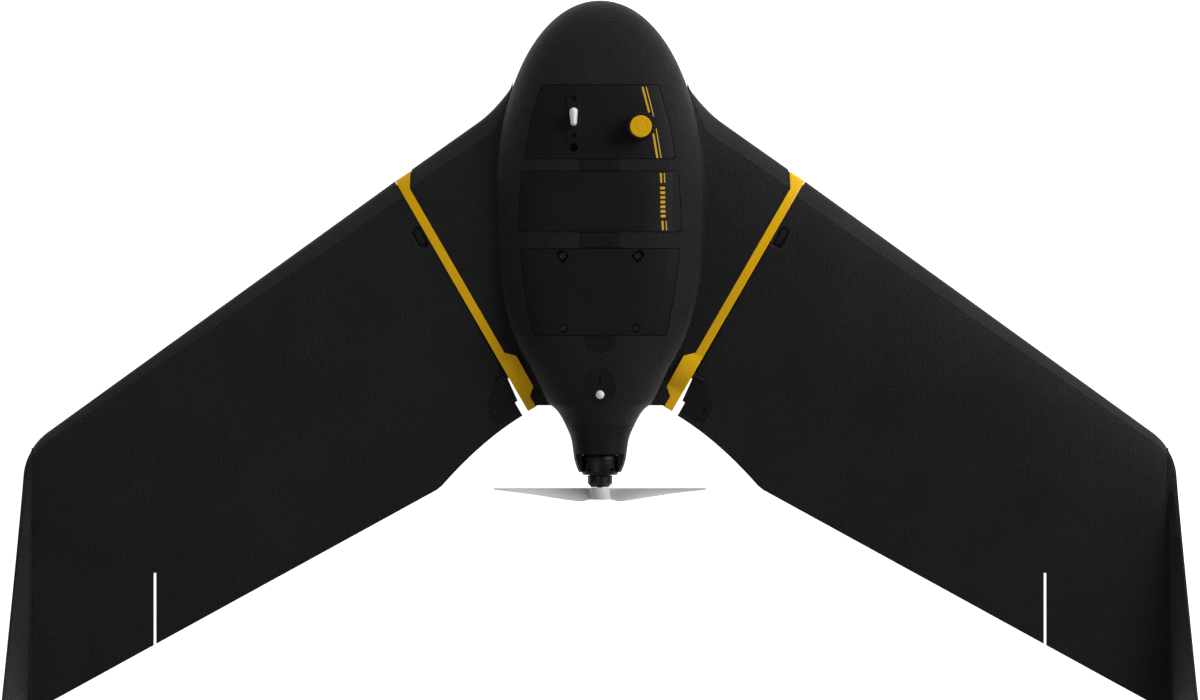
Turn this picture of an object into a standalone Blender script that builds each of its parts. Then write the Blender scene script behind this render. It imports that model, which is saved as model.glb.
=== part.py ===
"""A tailless fixed wing mapping drone, modelled as the pieces it comes apart into.

Frame: +X to the right wing, +Y to the nose, +Z up. The origin is the middle of the plan outline, on the
surface that the belly plate rests on. Sizes below are in millimetres, and mesh data is in metres.
"""

import math

import bmesh
import bpy
import numpy as np
from mathutils import Matrix, Vector

MM = 0.001
GAP = 0.3

# Plan outline of the body
NOSE_Y = 351.9
WIDEST_Y = 165.0
POD_HALF_WIDTH = 100.1
WATERLINE_Z = 46.0
CROWN_Z = 104.0
KEEL_Z = 0.5
BELLY_FLAT_Z = 3.3
BODY_REAR_Y = -39.5
NECK_REAR_Y = -58.5
MOTOR_Z = 62.0

# Wing planform and section
WING_Z = 46.0
ROOT_X, ROOT_Y = 198.0, 177.3
LEADING_SLOPE = 0.7225
STRAKE_SLOPE = 0.7065
TRAILING_X, TRAILING_Y, TRAILING_SLOPE = 164.3, -124.9, 0.5486
SCOOP_ROOT_X, SCOOP_ROOT_Y, SCOOP_END_X = 74.9, -49.5, 154.9
STRAKE_X, STRAKE_REACH, STRAKE_RISE = 118.0, 32.0, 11.0
STRAKE_START_X, STRAKE_START_Y = 85.0, 264.0
TIP_X = 548.0
TIP_OUTER_X = 557.4
TIP_RADIUS = 57.0
WING_THICKNESS = 0.105
FILLET = 20.0
SWEEP = math.radians(29.3)
ALONG = Vector((math.cos(SWEEP), -math.sin(SWEEP)))
FORWARD = Vector((math.sin(SWEEP), math.cos(SWEEP)))
ROOT_LINE = Vector((-0.5, -math.sqrt(0.75)))

# Hinge, servo and spar
HINGE_CHORD = 216.7
HINGE_Z = 54.8
ELEVON_ROOT = 6.8
SLIT_X, SLIT_WIDTH = 430.2, 2.4
GROOVE_ANGLE = math.radians(28)
SPAR_CHORD, SPAR_Z, SPAR_RADIUS = 97.7, 53.0, 5.0
SPAR_INBOARD, SPAR_OUTBOARD = 72.0, 300.0
HINGE_GAP = 0.3
HUB_RADIUS = 2.9
LATCH_CHORD = 59.2
HORN_DEPTH = 3.3

# Winglet
WINGLET_HEIGHT = 68.0
WINGLET_FRONT_Y, WINGLET_REAR_Y = -105.0, -334.0
WINGLET_LEAN = 22.9
WINGLET_RAKE = 17.4

COVER_THICKNESS = 3.0
COVER_CORNER = 3.3
HATCH_HINGE_Z = 104.4

# Stations of the body behind its widest point: y, half width, keel, crown, waterline
STATIONS = [
    (WIDEST_Y, POD_HALF_WIDTH, KEEL_Z, CROWN_Z, WATERLINE_Z),
    (85.0, 96.4, KEEL_Z, CROWN_Z, WATERLINE_Z),
    (43.0, 88.0, KEEL_Z, 103.0, WATERLINE_Z),
    (16.0, 77.3, 3.0, 101.5, WATERLINE_Z),
    (-10.0, 63.2, 9.0, 99.0, 47.5),
    (-30.0, 53.4, 17.0, 96.0, 50.5),
    (-38.0, 48.8, 21.0, 94.7, 52.7),
    (-43.5, 42.4, 23.9, 93.6, 54.6),
    (-50.0, 37.7, 27.5, 92.0, 57.0),
    (NECK_REAR_Y, 33.3, 31.0, 90.0, 59.5),
    (-71.0, 28.1, 35.0, 88.5, 61.5),
    (-86.0, 25.7, MOTOR_Z - 25.7, MOTOR_Z + 25.7, MOTOR_Z),
]

# Root rib, in millimetres behind the leading edge and inboard of the wing's root face
RIB_OUTLINE = [
    (0.0, 17.6),
    (13.7, 8.6),
    (55.0, 8.5),
    (97.0, 8.5),
    (150.0, 8.5),
    (196.5, 8.5),
    (204.7, 17.0),
    (238.7, 16.4),
    (245.4, 8.7),
    (256.9, 8.7),
]
RIB_RAISED, RIB_RAISED_REACH = 4.6, 19.0

# Covers: front y, rear y, then half widths from front to rear
FRONT_COVER = (270.0, 198.8, (56.0, 66.5, 73.0))
BATTERY_HATCH = (186.4, 128.2, (75.0, 77.6, 78.4))
SERVICE_COVER = (111.8, 28.4, (77.0, 72.0, 64.0))

# Bays: half width, front y, rear y, floor z
FRONT_BAY = (50.0, 262.0, 206.0, 62.0)
BATTERY_BAY = (71.5, 181.0, 134.0, 57.8)
SERVICE_BAY = (50.0, 101.0, 39.0, 56.0)
CAMERA_BAY = (31.0, 184.0, 116.0)
MODEM_BAY = (36.0, 88.0, 14.0, 14.0)

SERVICE_SCREWS = [(-36.0, 104.8), (36.4, 104.8), (-35.0, 35.4), (35.0, 35.4)]
ANTENNA_X, ANTENNA_Y, ANTENNA_RADIUS, ANTENNA_HEIGHT = 39.4, 229.8, 13.0, 20.0
AIRSPEED_X, AIRSPEED_FRONT_Y, AIRSPEED_REAR_Y = -25.4, 261.7, 215.2
BEACON_Y, BEACON_LENS_Y, BEACON_SLOT_Y = -21.0, -29.1, -15.5
BEACON_HALF_WIDTH, BEACON_HALF_LENGTH = 14.8, 16.8
FINGER_PLATE_HALF, FINGER_PLATE_THICKNESS = 19.3, 2.0

BELL_VENTS = 10

# Blade chords against radius, and the plane that the blades' front edges lie in
BLADE_RADII = (6.0, 20.0, 34.0, 47.0, 60.0, 80.0, 91.0, 98.0, 102.4)
BLADE_CHORDS = (12.0, 17.0, 19.2, 19.7, 18.3, 14.0, 10.0, 6.5, 2.5)
BLADE_FRONT_Y, HUB_FRONT_Y, HUB_REAR_Y = -119.4, -118.8, -130.8
PROPELLER_LEAD = 152.0

MATERIALS = {
    "foam": ((0.012, 0.012, 0.012), 0.75, 0.0),
    "shell_plastic": ((0.009, 0.009, 0.009), 0.5, 0.0),
    "yellow_plastic": ((0.55, 0.30, 0.006), 0.4, 0.0),
    "white_plastic": ((0.75, 0.75, 0.75), 0.3, 0.0),
    "grey_plastic": ((0.38, 0.38, 0.37), 0.4, 0.0),
    "carbon": ((0.015, 0.015, 0.016), 0.35, 0.0),
    "metal": ((0.55, 0.55, 0.56), 0.3, 1.0),
    "electronics": ((0.02, 0.10, 0.04), 0.5, 0.0),
    "lens_glass": ((0.02, 0.02, 0.03), 0.05, 0.0),
}


# ---------------------------------------------------------------- scene and mesh helpers


def start_scene():
    """Empties the file and makes the two collections."""
    for obj in list(bpy.data.objects):
        bpy.data.objects.remove(obj)
    parts = bpy.data.collections.new("mapping_drone")
    cutters = bpy.data.collections.new("cutters")
    for collection in (parts, cutters):
        bpy.context.scene.collection.children.link(collection)
    return parts, cutters


PARTS, CUTTERS = start_scene()


def material(slot):
    made = bpy.data.materials.get(slot)
    if made is None:
        colour, roughness, metallic = MATERIALS[slot]
        made = bpy.data.materials.new(slot)
        made.use_nodes = True
        shader = made.node_tree.nodes["Principled BSDF"]
        shader.inputs["Base Color"].default_value = (*colour, 1.0)
        shader.inputs["Roughness"].default_value = roughness
        shader.inputs["Metallic"].default_value = metallic
    return made


def place(name, data, slot):
    """Links a new object. With no slot it's a hidden cutter."""
    obj = bpy.data.objects.new(name, data)
    if slot is None:
        CUTTERS.objects.link(obj)
        obj.hide_render = True
        obj.display_type = "WIRE"
    else:
        PARTS.objects.link(obj)
        data.materials.append(material(slot))
    return obj


def object_from(bm, name, slot):
    """One object from a bmesh in millimetres."""
    bmesh.ops.remove_doubles(bm, verts=bm.verts, dist=0.002)
    bmesh.ops.dissolve_degenerate(bm, edges=bm.edges, dist=0.001)
    bmesh.ops.recalc_face_normals(bm, faces=bm.faces)
    bmesh.ops.scale(bm, vec=(MM, MM, MM), verts=bm.verts)
    mesh = bpy.data.meshes.new(name)
    bm.to_mesh(mesh)
    bm.free()
    mesh.shade_smooth()
    mesh.set_sharp_from_angle(angle=math.radians(35))
    return place(name, mesh, slot)


def hang(axis_name, point, pieces):
    """Parents pieces to an empty on their joint's axis, and leaves them where they are."""
    axis = bpy.data.objects.new(axis_name, None)
    axis.location = Vector(point) * MM
    axis.empty_display_size = 0.02
    PARTS.objects.link(axis)
    for piece in pieces:
        obj = bpy.data.objects[piece]
        obj.parent = axis
        obj.location -= axis.location


def boolean(obj, other, operation="DIFFERENCE"):
    modifier = obj.modifiers.new(other.name, "BOOLEAN")
    modifier.operation = operation
    modifier.object = other


def bevel(obj, width, segments=2, angle=40):
    modifier = obj.modifiers.new("bevel", "BEVEL")
    modifier.width = width * MM
    modifier.segments = segments
    modifier.limit_method = "ANGLE"
    modifier.angle_limit = math.radians(angle)


def slab(name, slot, top, bottom):
    """A closed body between two grids of points with the same rows and columns."""
    rows, columns = len(top), len(top[0])
    bm = bmesh.new()
    upper = [[bm.verts.new(point) for point in row] for row in top]
    lower = [[bm.verts.new(point) for point in row] for row in bottom]
    for i in range(rows - 1):
        for j in range(columns - 1):
            bm.faces.new((upper[i][j], upper[i + 1][j], upper[i + 1][j + 1], upper[i][j + 1]))
            bm.faces.new((lower[i][j], lower[i][j + 1], lower[i + 1][j + 1], lower[i + 1][j]))
    for i in range(rows - 1):
        for j in (0, columns - 1):
            bm.faces.new((upper[i][j], lower[i][j], lower[i + 1][j], upper[i + 1][j]))
    for j in range(columns - 1):
        for i in (0, rows - 1):
            bm.faces.new((upper[i][j], upper[i][j + 1], lower[i][j + 1], lower[i][j]))
    return object_from(bm, name, slot)


def loft(name, slot, rings):
    """A closed body through rings with the same number of points, capped at both ends."""
    bm = bmesh.new()
    loops = [[bm.verts.new(point) for point in ring] for ring in rings]
    for first, second in zip(loops, loops[1:]):
        count = len(first)
        for k in range(count):
            after = (k + 1) % count
            bm.faces.new((first[k], first[after], second[after], second[k]))
    bm.faces.new(loops[0])
    bm.faces.new(loops[-1])
    return object_from(bm, name, slot)


def prism(name, slot, outline, low, high):
    """A plan outline of (x, y) points, extruded from low to high."""
    curve = bpy.data.curves.new(name, "CURVE")
    curve.dimensions = "2D"
    curve.fill_mode = "BOTH"
    curve.extrude = (high - low) / 2
    spline = curve.splines.new("POLY")
    spline.points.add(len(outline) - 1)
    spline.use_cyclic_u = True
    for point, (x, y) in zip(spline.points, outline):
        point.co = (x, y, 0.0, 1.0)
    drawn = bpy.data.objects.new(name + "_outline", curve)
    bm = bmesh.new()
    bm.from_mesh(bpy.data.meshes.new_from_object(drawn))
    bpy.data.objects.remove(drawn)
    bmesh.ops.translate(bm, vec=(0, 0, (high + low) / 2), verts=bm.verts)
    return object_from(bm, name, slot)


def box(name, slot, centre, size, turn=0.0, bevelled=0.0):
    """A box of full size (x, y, z) about centre, turned about Z."""
    bm = bmesh.new()
    bmesh.ops.create_cube(bm, size=1.0)
    bmesh.ops.scale(bm, vec=size, verts=bm.verts)
    bmesh.ops.rotate(bm, matrix=Matrix.Rotation(turn, 3, "Z"), verts=bm.verts)
    bmesh.ops.translate(bm, vec=centre, verts=bm.verts)
    obj = object_from(bm, name, slot)
    if bevelled:
        bevel(obj, bevelled)
    return obj


def rod(name, slot, start, end, radius, sides=20):
    """A cylinder or cone frustum from one point to another."""
    start, end = Vector(start), Vector(end)
    bm = bmesh.new()
    bmesh.ops.create_cone(
        bm,
        cap_ends=True,
        segments=sides,
        radius1=radius,
        radius2=radius,
        depth=(end - start).length,
    )
    turn = (end - start).to_track_quat("Z", "Y").to_matrix()
    bmesh.ops.rotate(bm, matrix=turn, verts=bm.verts)
    bmesh.ops.translate(bm, vec=(start + end) / 2, verts=bm.verts)
    return object_from(bm, name, slot)


def turned(name, slot, profile, sides=28):
    """A body turned about the motor's line, from a closed profile of (radius, y) points.

    The profile runs rearwards down its outer side.
    """
    count = len(profile)
    mesh = bpy.data.meshes.new(name)
    points = [(radius * MM, 0.0, y * MM) for radius, y in profile]
    mesh.from_pydata(points, [(k, (k + 1) % count) for k in range(count)], [])
    obj = place(name, mesh, slot)
    obj.location = (0.0, 0.0, MOTOR_Z * MM)
    obj.rotation_euler = (-math.pi / 2, 0.0, 0.0)
    screw = obj.modifiers.new("turn", "SCREW")
    screw.steps = screw.render_steps = sides
    screw.use_merge_vertices = True
    screw.merge_threshold = 1e-5
    screw.use_smooth_shade = False
    return obj


def disc_grid(centre, half_width, half_length, height, start, sweep, rings=3, sides=24):
    """Rows of an oval patch, from its centre out, at the heights that height(x, y) gives."""
    rows = []
    for i in range(rings + 1):
        row = []
        for k in range(sides + 1):
            angle = math.radians(start + sweep * k / sides)
            x = centre[0] + half_width * i / rings * math.cos(angle)
            y = centre[1] + half_length * i / rings * math.sin(angle)
            row.append((x, y, height(x, y)))
        rows.append(row)
    return rows


def round_patch(name, slot, centre, half_width, half_length, high, low, start=0.0, sweep=360.0):
    """An oval, or a sector of one, that follows the body between two height functions."""
    bm = bmesh.new()
    layers = []
    for height in (high, low):
        grid = disc_grid(centre, half_width, half_length, height, start, sweep)
        layers.append([[bm.verts.new(point) for point in row] for row in grid])
    over, under = layers
    last = len(over) - 1
    sides = len(over[0]) - 1
    for layer in layers:
        for i in range(last):
            for k in range(sides):
                bm.faces.new((layer[i][k], layer[i + 1][k], layer[i + 1][k + 1], layer[i][k + 1]))
    for k in range(sides):
        bm.faces.new((over[last][k], over[last][k + 1], under[last][k + 1], under[last][k]))
    if sweep < 360:
        for k in (0, sides):
            for i in range(last):
                bm.faces.new((over[i][k], under[i][k], under[i + 1][k], over[i + 1][k]))
    return object_from(bm, name, slot)


# ---------------------------------------------------------------- the outer surface, as formulas


def station(y, column):
    """A smooth value between the stations behind the widest point."""
    table = STATIONS[::-1]
    ys = [row[0] for row in table]
    values = [row[column] for row in table]
    y = min(max(y, ys[0]), ys[-1])
    i = min(max(int(np.searchsorted(ys, y)) - 1, 0), len(ys) - 2)

    def slope(k):
        low, high = max(k - 1, 0), min(k + 1, len(ys) - 1)
        return (values[high] - values[low]) / (ys[high] - ys[low])

    width = ys[i + 1] - ys[i]
    t = (y - ys[i]) / width
    return (
        (2 * t**3 - 3 * t**2 + 1) * values[i]
        + (t**3 - 2 * t**2 + t) * width * slope(i)
        + (3 * t**2 - 2 * t**3) * values[i + 1]
        + (t**3 - t**2) * width * slope(i + 1)
    )


def nose_share(y, start, power):
    t = min(max((y - start) / (NOSE_Y - start), 0.0), 1.0)
    return (1 - t**power) ** (1 / power)


def pod_half_width(y):
    if y >= WIDEST_Y:
        return POD_HALF_WIDTH * nose_share(y, WIDEST_Y, 2.05)
    return station(y, 1)


def crown(y):
    if y >= WIDEST_Y:
        return WATERLINE_Z + (CROWN_Z - WATERLINE_Z) * nose_share(y, WIDEST_Y, 2.2)
    return station(y, 3)


def keel(y):
    if y >= WIDEST_Y:
        return WATERLINE_Z - (WATERLINE_Z - KEEL_Z) * nose_share(y, 225.0, 2.4)
    return station(y, 2)


def waterline(y):
    return WATERLINE_Z if y >= WIDEST_Y else station(y, 4)


def roundness(y):
    """The section's superellipse power: boxy under the covers, round at the tail."""
    return 2.0 + 0.7 * min(max((y - NECK_REAR_Y) / 60.0, 0.0), 1.0)


def pod_height(x, y, end):
    """The pod's upper or lower surface, or a steep line away from it outside its width."""
    level, width, power = waterline(y), pod_half_width(y), roundness(y)
    if abs(x) >= width:
        return level - math.copysign(3.0, end - level) * (abs(x) - width)
    return level + (end - level) * (1 - (abs(x) / width) ** power) ** (1 / power)


def leading_edge(x):
    """The leading edge's y at distance x from the centre line, with its strake and tip corner."""
    x = max(x, STRAKE_START_X)
    slope = LEADING_SLOPE if x > ROOT_X else STRAKE_SLOPE
    y = ROOT_Y - slope * (x - ROOT_X)
    if x < STRAKE_X:
        y += STRAKE_RISE * ((STRAKE_X - x) / STRAKE_REACH) ** 2
    angle = math.atan(LEADING_SLOPE)
    turn = (math.pi / 2 - angle) / 2
    corner_y = ROOT_Y - LEADING_SLOPE * (TIP_OUTER_X - ROOT_X)
    arc_centre = (TIP_OUTER_X - TIP_RADIUS, corner_y - TIP_RADIUS * math.tan(turn))
    arc_start = arc_centre[0] + TIP_RADIUS * math.sin(angle)
    if x > arc_start:
        reach = min(x - arc_centre[0], TIP_RADIUS)
        y = arc_centre[1] + math.sqrt(TIP_RADIUS**2 - reach**2)
    return y


def trailing_edge(x):
    return TRAILING_Y - TRAILING_SLOPE * (x - TRAILING_X)


def wing_height(x, y, side):
    """The wing's upper (side 1) or lower (side -1) surface, and far inside it ahead of the edge."""
    x = abs(x)
    front = leading_edge(x)
    chord = front - trailing_edge(x)
    f = (front - y) / chord
    if f <= 0:
        return WING_Z - side * 3.0 * (y - front)
    f = min(f, 1.0)
    half = 5 * WING_THICKNESS * (
        0.2969 * math.sqrt(f) - 0.1260 * f - 0.3516 * f**2 + 0.2843 * f**3 - 0.1036 * f**4
    )
    camber = 0.156 * f * (1 - f) * (0.85 - f)
    return WING_Z + chord * (camber + side * (half + 0.0035 * f))


def wing_top(x, y):
    return wing_height(x, y, 1)


def wing_bottom(x, y):
    return wing_height(x, y, -1)


def smooth_max(a, b, base):
    reach = min(FILLET, 0.8 * max(max(a, b) - base, 1e-6))
    share = max(reach - abs(a - b), 0.0) / reach
    return max(a, b) + share * share * reach / 4


def body_top(x, y):
    return smooth_max(pod_height(x, y, crown(y)), wing_top(x, y), WATERLINE_Z)


def body_bottom(x, y):
    low = -smooth_max(-pod_height(x, y, keel(y)), -wing_bottom(x, y), -WATERLINE_Z)
    return max(low, BELLY_FLAT_Z)


def root_point(chord, out=0.0, side=1):
    """A plan point behind the leading edge along the root, and out along the spar direction."""
    point = Vector((ROOT_X, ROOT_Y)) + ROOT_LINE * chord + ALONG * out
    return Vector((side * point.x, point.y))


def rib_inboard(chord):
    """How far inboard of the root face the rib reaches."""
    return float(np.interp(chord, [c for c, _ in RIB_OUTLINE], [d for _, d in RIB_OUTLINE]))


def guard_inner(x):
    """The rear edge of the strake's guard, in plan."""
    return STRAKE_START_Y - (x - 86.4) * 2.41 if x < 102.5 else 225.2 - (x - 102.5) * 0.668


def body_edge_points():
    """The body's plan edge from the strake to the rear, as (y, x) pairs with rising y."""
    normal = Vector((-ROOT_LINE.y, ROOT_LINE.x))
    points = [(STRAKE_START_Y, 86.0), (225.2, 102.5 - GAP), (guard_inner(183.0), 183.0 - GAP)]
    for chord, inboard in RIB_OUTLINE[1:]:
        point = Vector((ROOT_X, ROOT_Y)) + ROOT_LINE * chord - normal * (inboard + GAP)
        points.append((point.y, point.x))
    return points[::-1]


EDGE = body_edge_points()


def body_edge(y):
    """Half the body's width in plan, without the guards and ribs."""
    if y >= STRAKE_START_Y:
        return pod_half_width(y)
    return float(np.interp(y, [p[0] for p in EDGE], [p[1] for p in EDGE]))


def below(depth):
    """The body's upper surface, lowered by a depth."""
    return lambda x, y: body_top(x, y) - depth


def cover_half_width(cover, y):
    """Half a cover's width at y, with its four corners rounded."""
    front, rear, widths = cover
    half = float(np.interp((front - y) / (front - rear), np.linspace(0, 1, len(widths)), widths))
    depth = max(min(front - y, y - rear), 0.0)
    if depth < COVER_CORNER:
        half -= COVER_CORNER - math.sqrt(COVER_CORNER**2 - (COVER_CORNER - depth) ** 2)
    return half


def cover_grid(cover, height, near_ends, middle_rows, columns, grow=0.0):
    """Points over a cover's outline, at the heights that height(x, y) gives."""
    front, rear, _ = cover
    ys = [front - depth for depth in near_ends]
    ys += list(np.linspace(front - 2 * COVER_CORNER, rear + 2 * COVER_CORNER, middle_rows))
    ys += [rear + depth for depth in reversed(near_ends)]
    grid = []
    for y in ys:
        half = cover_half_width(cover, y) + grow
        moved = y + grow * (2 * (y - rear) / (front - rear) - 1)
        grid.append([(half * s, moved, height(half * s, moved)) for s in np.linspace(-1, 1, columns)])
    return grid


def kite(x, y, radius, reach, steps=13):
    """The outline of a screw's recess: a round that narrows to a point behind it."""
    angles = [math.radians(-30 + 240 * k / (steps - 1)) for k in range(steps)]
    return [(x + radius * math.cos(a), y + radius * math.sin(a)) for a in angles] + [(x, y - reach)]


# ---------------------------------------------------------------- body shells and covers


def body_rows():
    nose = [NOSE_Y - 86.4 * (1 - math.cos(math.radians(a))) for a in (0, 8, 17, 27, 38, 50, 62, 76)]
    middle = [264.0, 245.0, 225.2, 200.0, 170.9, 150.0, 120.0, 90.0, 60.0, 35.0]
    kinks = [y for y, _ in EDGE if BODY_REAR_Y < y < 20.0]
    return nose + middle + sorted(kinks + [-2.0], reverse=True) + [BODY_REAR_Y]


def body_columns(y):
    """The x of each grid column, from the left edge to the right one."""
    edge = body_edge(y)
    pod = min(pod_half_width(y), edge)
    inner = [pod * t for t in (0.0, 0.22, 0.42, 0.6, 0.75, 0.86, 0.94, 0.985)]
    outer = [pod + (edge - pod) * t for t in (0.12, 0.4, 0.7, 1.0)]
    right = inner + outer
    return [-x for x in right[:0:-1]] + right


def shell_grid(height):
    return [[(x, y, height(x, y)) for x in body_columns(y)] for y in body_rows()]


def upper_height(x, y):
    return max(body_top(x, y), WATERLINE_Z + GAP / 2)


def lower_height(x, y):
    return min(body_bottom(x, y), WATERLINE_Z - GAP / 2)


def coarse_cover(cover, height, grow=0.0):
    return cover_grid(cover, height, (0.0, 0.5, 1.8, COVER_CORNER), 4, 13, grow)


def cover_piece(name, cover):
    top = coarse_cover(cover, body_top)
    return slab(name, "shell_plastic", top, coarse_cover(cover, below(COVER_THICKNESS)))


def cover_seat(name, cover):
    """The recess that a cover lies in, with a gap all round and below it."""
    bottom = coarse_cover(cover, below(COVER_THICKNESS + GAP), grow=0.6)
    top = [[(x, y, CROWN_Z + 20) for x, y, _ in row] for row in bottom]
    return slab(name, None, top, bottom)


def bay_cutter(name, bay, high):
    half, front, rear, low = bay
    centre = (0.0, (front + rear) / 2, (low + high) / 2)
    return box(name, None, centre, (2 * half, front - rear, high - low))


def plan_strip(front, rear, half, height):
    rows = [front, (front + rear) / 2, rear]
    return [[(x, y, height(x, y)) for x in np.linspace(-half, half, 5)] for y in rows]


def finger_plate(name, front, rear):
    """A smooth insert between two covers, with a half round notch that a finger reaches under."""
    high = plan_strip(front, rear, FINGER_PLATE_HALF, body_top)
    low = plan_strip(front, rear, FINGER_PLATE_HALF, below(FINGER_PLATE_THICKNESS))
    plate = slab(name, "shell_plastic", high, low)
    notch = rod(name + "_notch", None, (0, rear, CROWN_Z - 1.2), (0, rear, CROWN_Z + 10), 10.5)
    boolean(plate, notch)


def plate_seat(name, front, rear):
    depth = below(FINGER_PLATE_THICKNESS + GAP)
    low = plan_strip(front + GAP, rear - GAP, FINGER_PLATE_HALF + GAP, depth)
    high = [[(x, y, CROWN_Z + 20) for x, y, _ in row] for row in low]
    return slab(name, None, high, low)


def build_covers(upper):
    """The three covers, the plates between and behind them, and their seats in the upper shell."""
    front = cover_piece("front_cover", FRONT_COVER)
    cover_piece("battery_hatch", BATTERY_HATCH)
    service = cover_piece("service_cover", SERVICE_COVER)
    covers = (("front", FRONT_COVER), ("battery", BATTERY_HATCH), ("service", SERVICE_COVER))
    for name, cover in covers:
        boolean(upper, cover_seat(name + "_seat", cover))
    for name, front_y, rear_y in (
        ("finger_plate_front", FRONT_COVER[1] - 1.0, BATTERY_HATCH[0] + 1.0),
        ("finger_plate_rear", BATTERY_HATCH[1] - 1.0, SERVICE_COVER[0] + 1.0),
    ):
        finger_plate(name, front_y, rear_y)
        boolean(upper, plate_seat(name + "_seat", front_y, rear_y))
    centre, seat_centre = (0.0, SERVICE_COVER[1] - 1.5), (0.0, SERVICE_COVER[1] - 1.2)
    depth = FINGER_PLATE_THICKNESS
    half_disc = {"start": 180.0, "sweep": 180.0}
    round_patch(
        "finger_plate_service", "shell_plastic", centre, 15.4, 15.4, body_top, below(depth), **half_disc
    )
    half_seat = round_patch(
        "half_plate_seat", None, seat_centre, 15.7, 16.0, below(-20), below(depth + GAP), **half_disc
    )
    boolean(upper, half_seat)
    for name, bay in (("front_bay", FRONT_BAY), ("battery_bay", BATTERY_BAY), ("service_bay", SERVICE_BAY)):
        boolean(upper, bay_cutter(name, bay, CROWN_Z + 10))
    for index, (x, y) in enumerate(SERVICE_SCREWS, start=1):
        build_cover_screw(index, x, y, upper, service)
    return front


def build_cover_screw(index, x, y, upper, service):
    """A screw in its kite shaped recess in the service cover."""
    surface = body_top(x, y)
    radius = 5.4 if y > 70 else 4.2
    recess = prism(f"recess_{index}", None, kite(x, y, radius, 1.5 * radius), surface - 1.8, surface + 5)
    boolean(service, recess)
    bore = rod(f"screw_hole_{index}", None, (x, y, surface - 14.5), (x, y, surface + 5), 1.9, 12)
    boolean(service, bore)
    boolean(upper, bore)
    screw = rod(f"cover_screw_{index}", "metal", (x, y, surface - 13.5), (x, y, surface - 1.6), 1.5, 12)
    neck = rod(f"screw_neck_{index}", None, (x, y, surface - 3.0), (x, y, surface - 1.0), 1.45, 12)
    head = rod(f"screw_head_{index}", None, (x, y, surface - 1.5), (x, y, surface - 0.2), 3.2, 16)
    boolean(screw, neck, "UNION")
    boolean(screw, head, "UNION")


def build_airspeed(front_cover):
    """The airspeed probe on its base plate, and the small round ports in line with it."""
    x, half = AIRSPEED_X, 6.9
    rows = np.linspace(AIRSPEED_FRONT_Y, AIRSPEED_REAR_Y, 7)
    high = [[(x + s, y, body_top(x + s, y) + 1.1) for s in (-half, 0, half)] for y in rows]
    low = [[(x + s, y, body_top(x + s, y) + GAP) for s in (-half, 0, half)] for y in rows]
    base = slab("airspeed_base", "shell_plastic", high, low)
    for name, y, radius in (("port_front", 257.0, 2.8), ("port_rear", 221.2, 2.6)):
        z = body_top(x, y)
        boolean(base, rod(name, None, (x, y, z + 0.75), (x, y, z + 6), radius, 16))
    hole_z = body_top(x, 209.6)
    boolean(front_cover, rod("buzzer_hole", None, (x, 209.6, hole_z - 8), (x, 209.6, hole_z + 6), 3.9, 20))
    foot = max(body_top(x + s, 230.0) for s in (-3.2, 3.2)) + 1.1 + GAP
    rings = []
    for z, shrink in ((foot, 0.0), (foot + 9.5, 0.5), (foot + 12.0, 1.4), (foot + 13.2, 3.0)):
        front_radius, rear_radius = 4.5 - shrink, 3.2 - shrink
        ring = []
        for k in range(24):
            angle = 2 * math.pi * k / 24
            ahead = math.sin(angle) > 0
            radius = front_radius if ahead else rear_radius
            middle = 244.0 if ahead else 233.2
            ring.append((x + radius * math.cos(angle), middle + radius * math.sin(angle), z))
        rings.append(ring)
    loft("airspeed_probe", "white_plastic", rings)


def build_antenna():
    """The satellite antenna's housing, a turned can on the front cover, and its yellow cap."""
    x, y = ANTENNA_X, ANTENNA_Y
    foot = max(body_top(x + s, y + t) for s in (-13, 0, 13) for t in (-13, 0, 13)) + GAP
    top = foot + ANTENNA_HEIGHT
    housing = rod("antenna_housing", "shell_plastic", (x, y, foot), (x, y, top), ANTENNA_RADIUS, 32)
    boolean(housing, rod("cap_seat", None, (x, y, top - 1.2), (x, y, top + 5), 11.1, 32))
    rod("antenna_cap", "yellow_plastic", (x, y, top - 0.9), (x, y, top + 0.3), 10.8, 32)


def build_beacon(upper):
    """The smooth oval plate near the tail, with its slot and its white light."""
    size = (BEACON_HALF_WIDTH, BEACON_HALF_LENGTH)
    seat_size = (BEACON_HALF_WIDTH + GAP, BEACON_HALF_LENGTH + GAP)
    plate = round_patch("beacon_plate", "shell_plastic", (0, BEACON_Y), *size, body_top, below(2.0))
    seat = round_patch("beacon_seat", None, (0, BEACON_Y), *seat_size, below(-20.0), below(2.0 + GAP))
    boolean(upper, seat)
    z = body_top(0, BEACON_LENS_Y)
    well = rod("beacon_well", None, (0, BEACON_LENS_Y, z - 9), (0, BEACON_LENS_Y, z + 6), 4.8, 20)
    boolean(plate, well)
    boolean(upper, well)
    slot_z = body_top(0, BEACON_SLOT_Y)
    boolean(plate, box("beacon_slot", None, (0, BEACON_SLOT_Y, slot_z), (1.6, 5.9, 2.2)))
    bm = bmesh.new()
    bmesh.ops.create_uvsphere(bm, u_segments=20, v_segments=10, radius=4.4)
    bmesh.ops.scale(bm, vec=(1, 1, 0.75), verts=bm.verts)
    bmesh.ops.translate(bm, vec=(0, BEACON_LENS_Y, z - 0.6), verts=bm.verts)
    object_from(bm, "beacon_lens", "white_plastic")


def ring_at(y, half_width, low, high, level, power, sides=28):
    ring = []
    for k in range(sides):
        angle = 2 * math.pi * k / sides
        c, s = math.cos(angle), math.sin(angle)
        x = math.copysign(abs(c) ** (2 / power), c) * half_width
        share = math.copysign(abs(s) ** (2 / power), s)
        z = level + share * ((high - level) if s >= 0 else (level - low))
        ring.append((x, y, z))
    return ring


def tail_ring(y):
    return ring_at(y, station(y, 1), station(y, 2), station(y, 3), station(y, 4), roundness(y))


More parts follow.
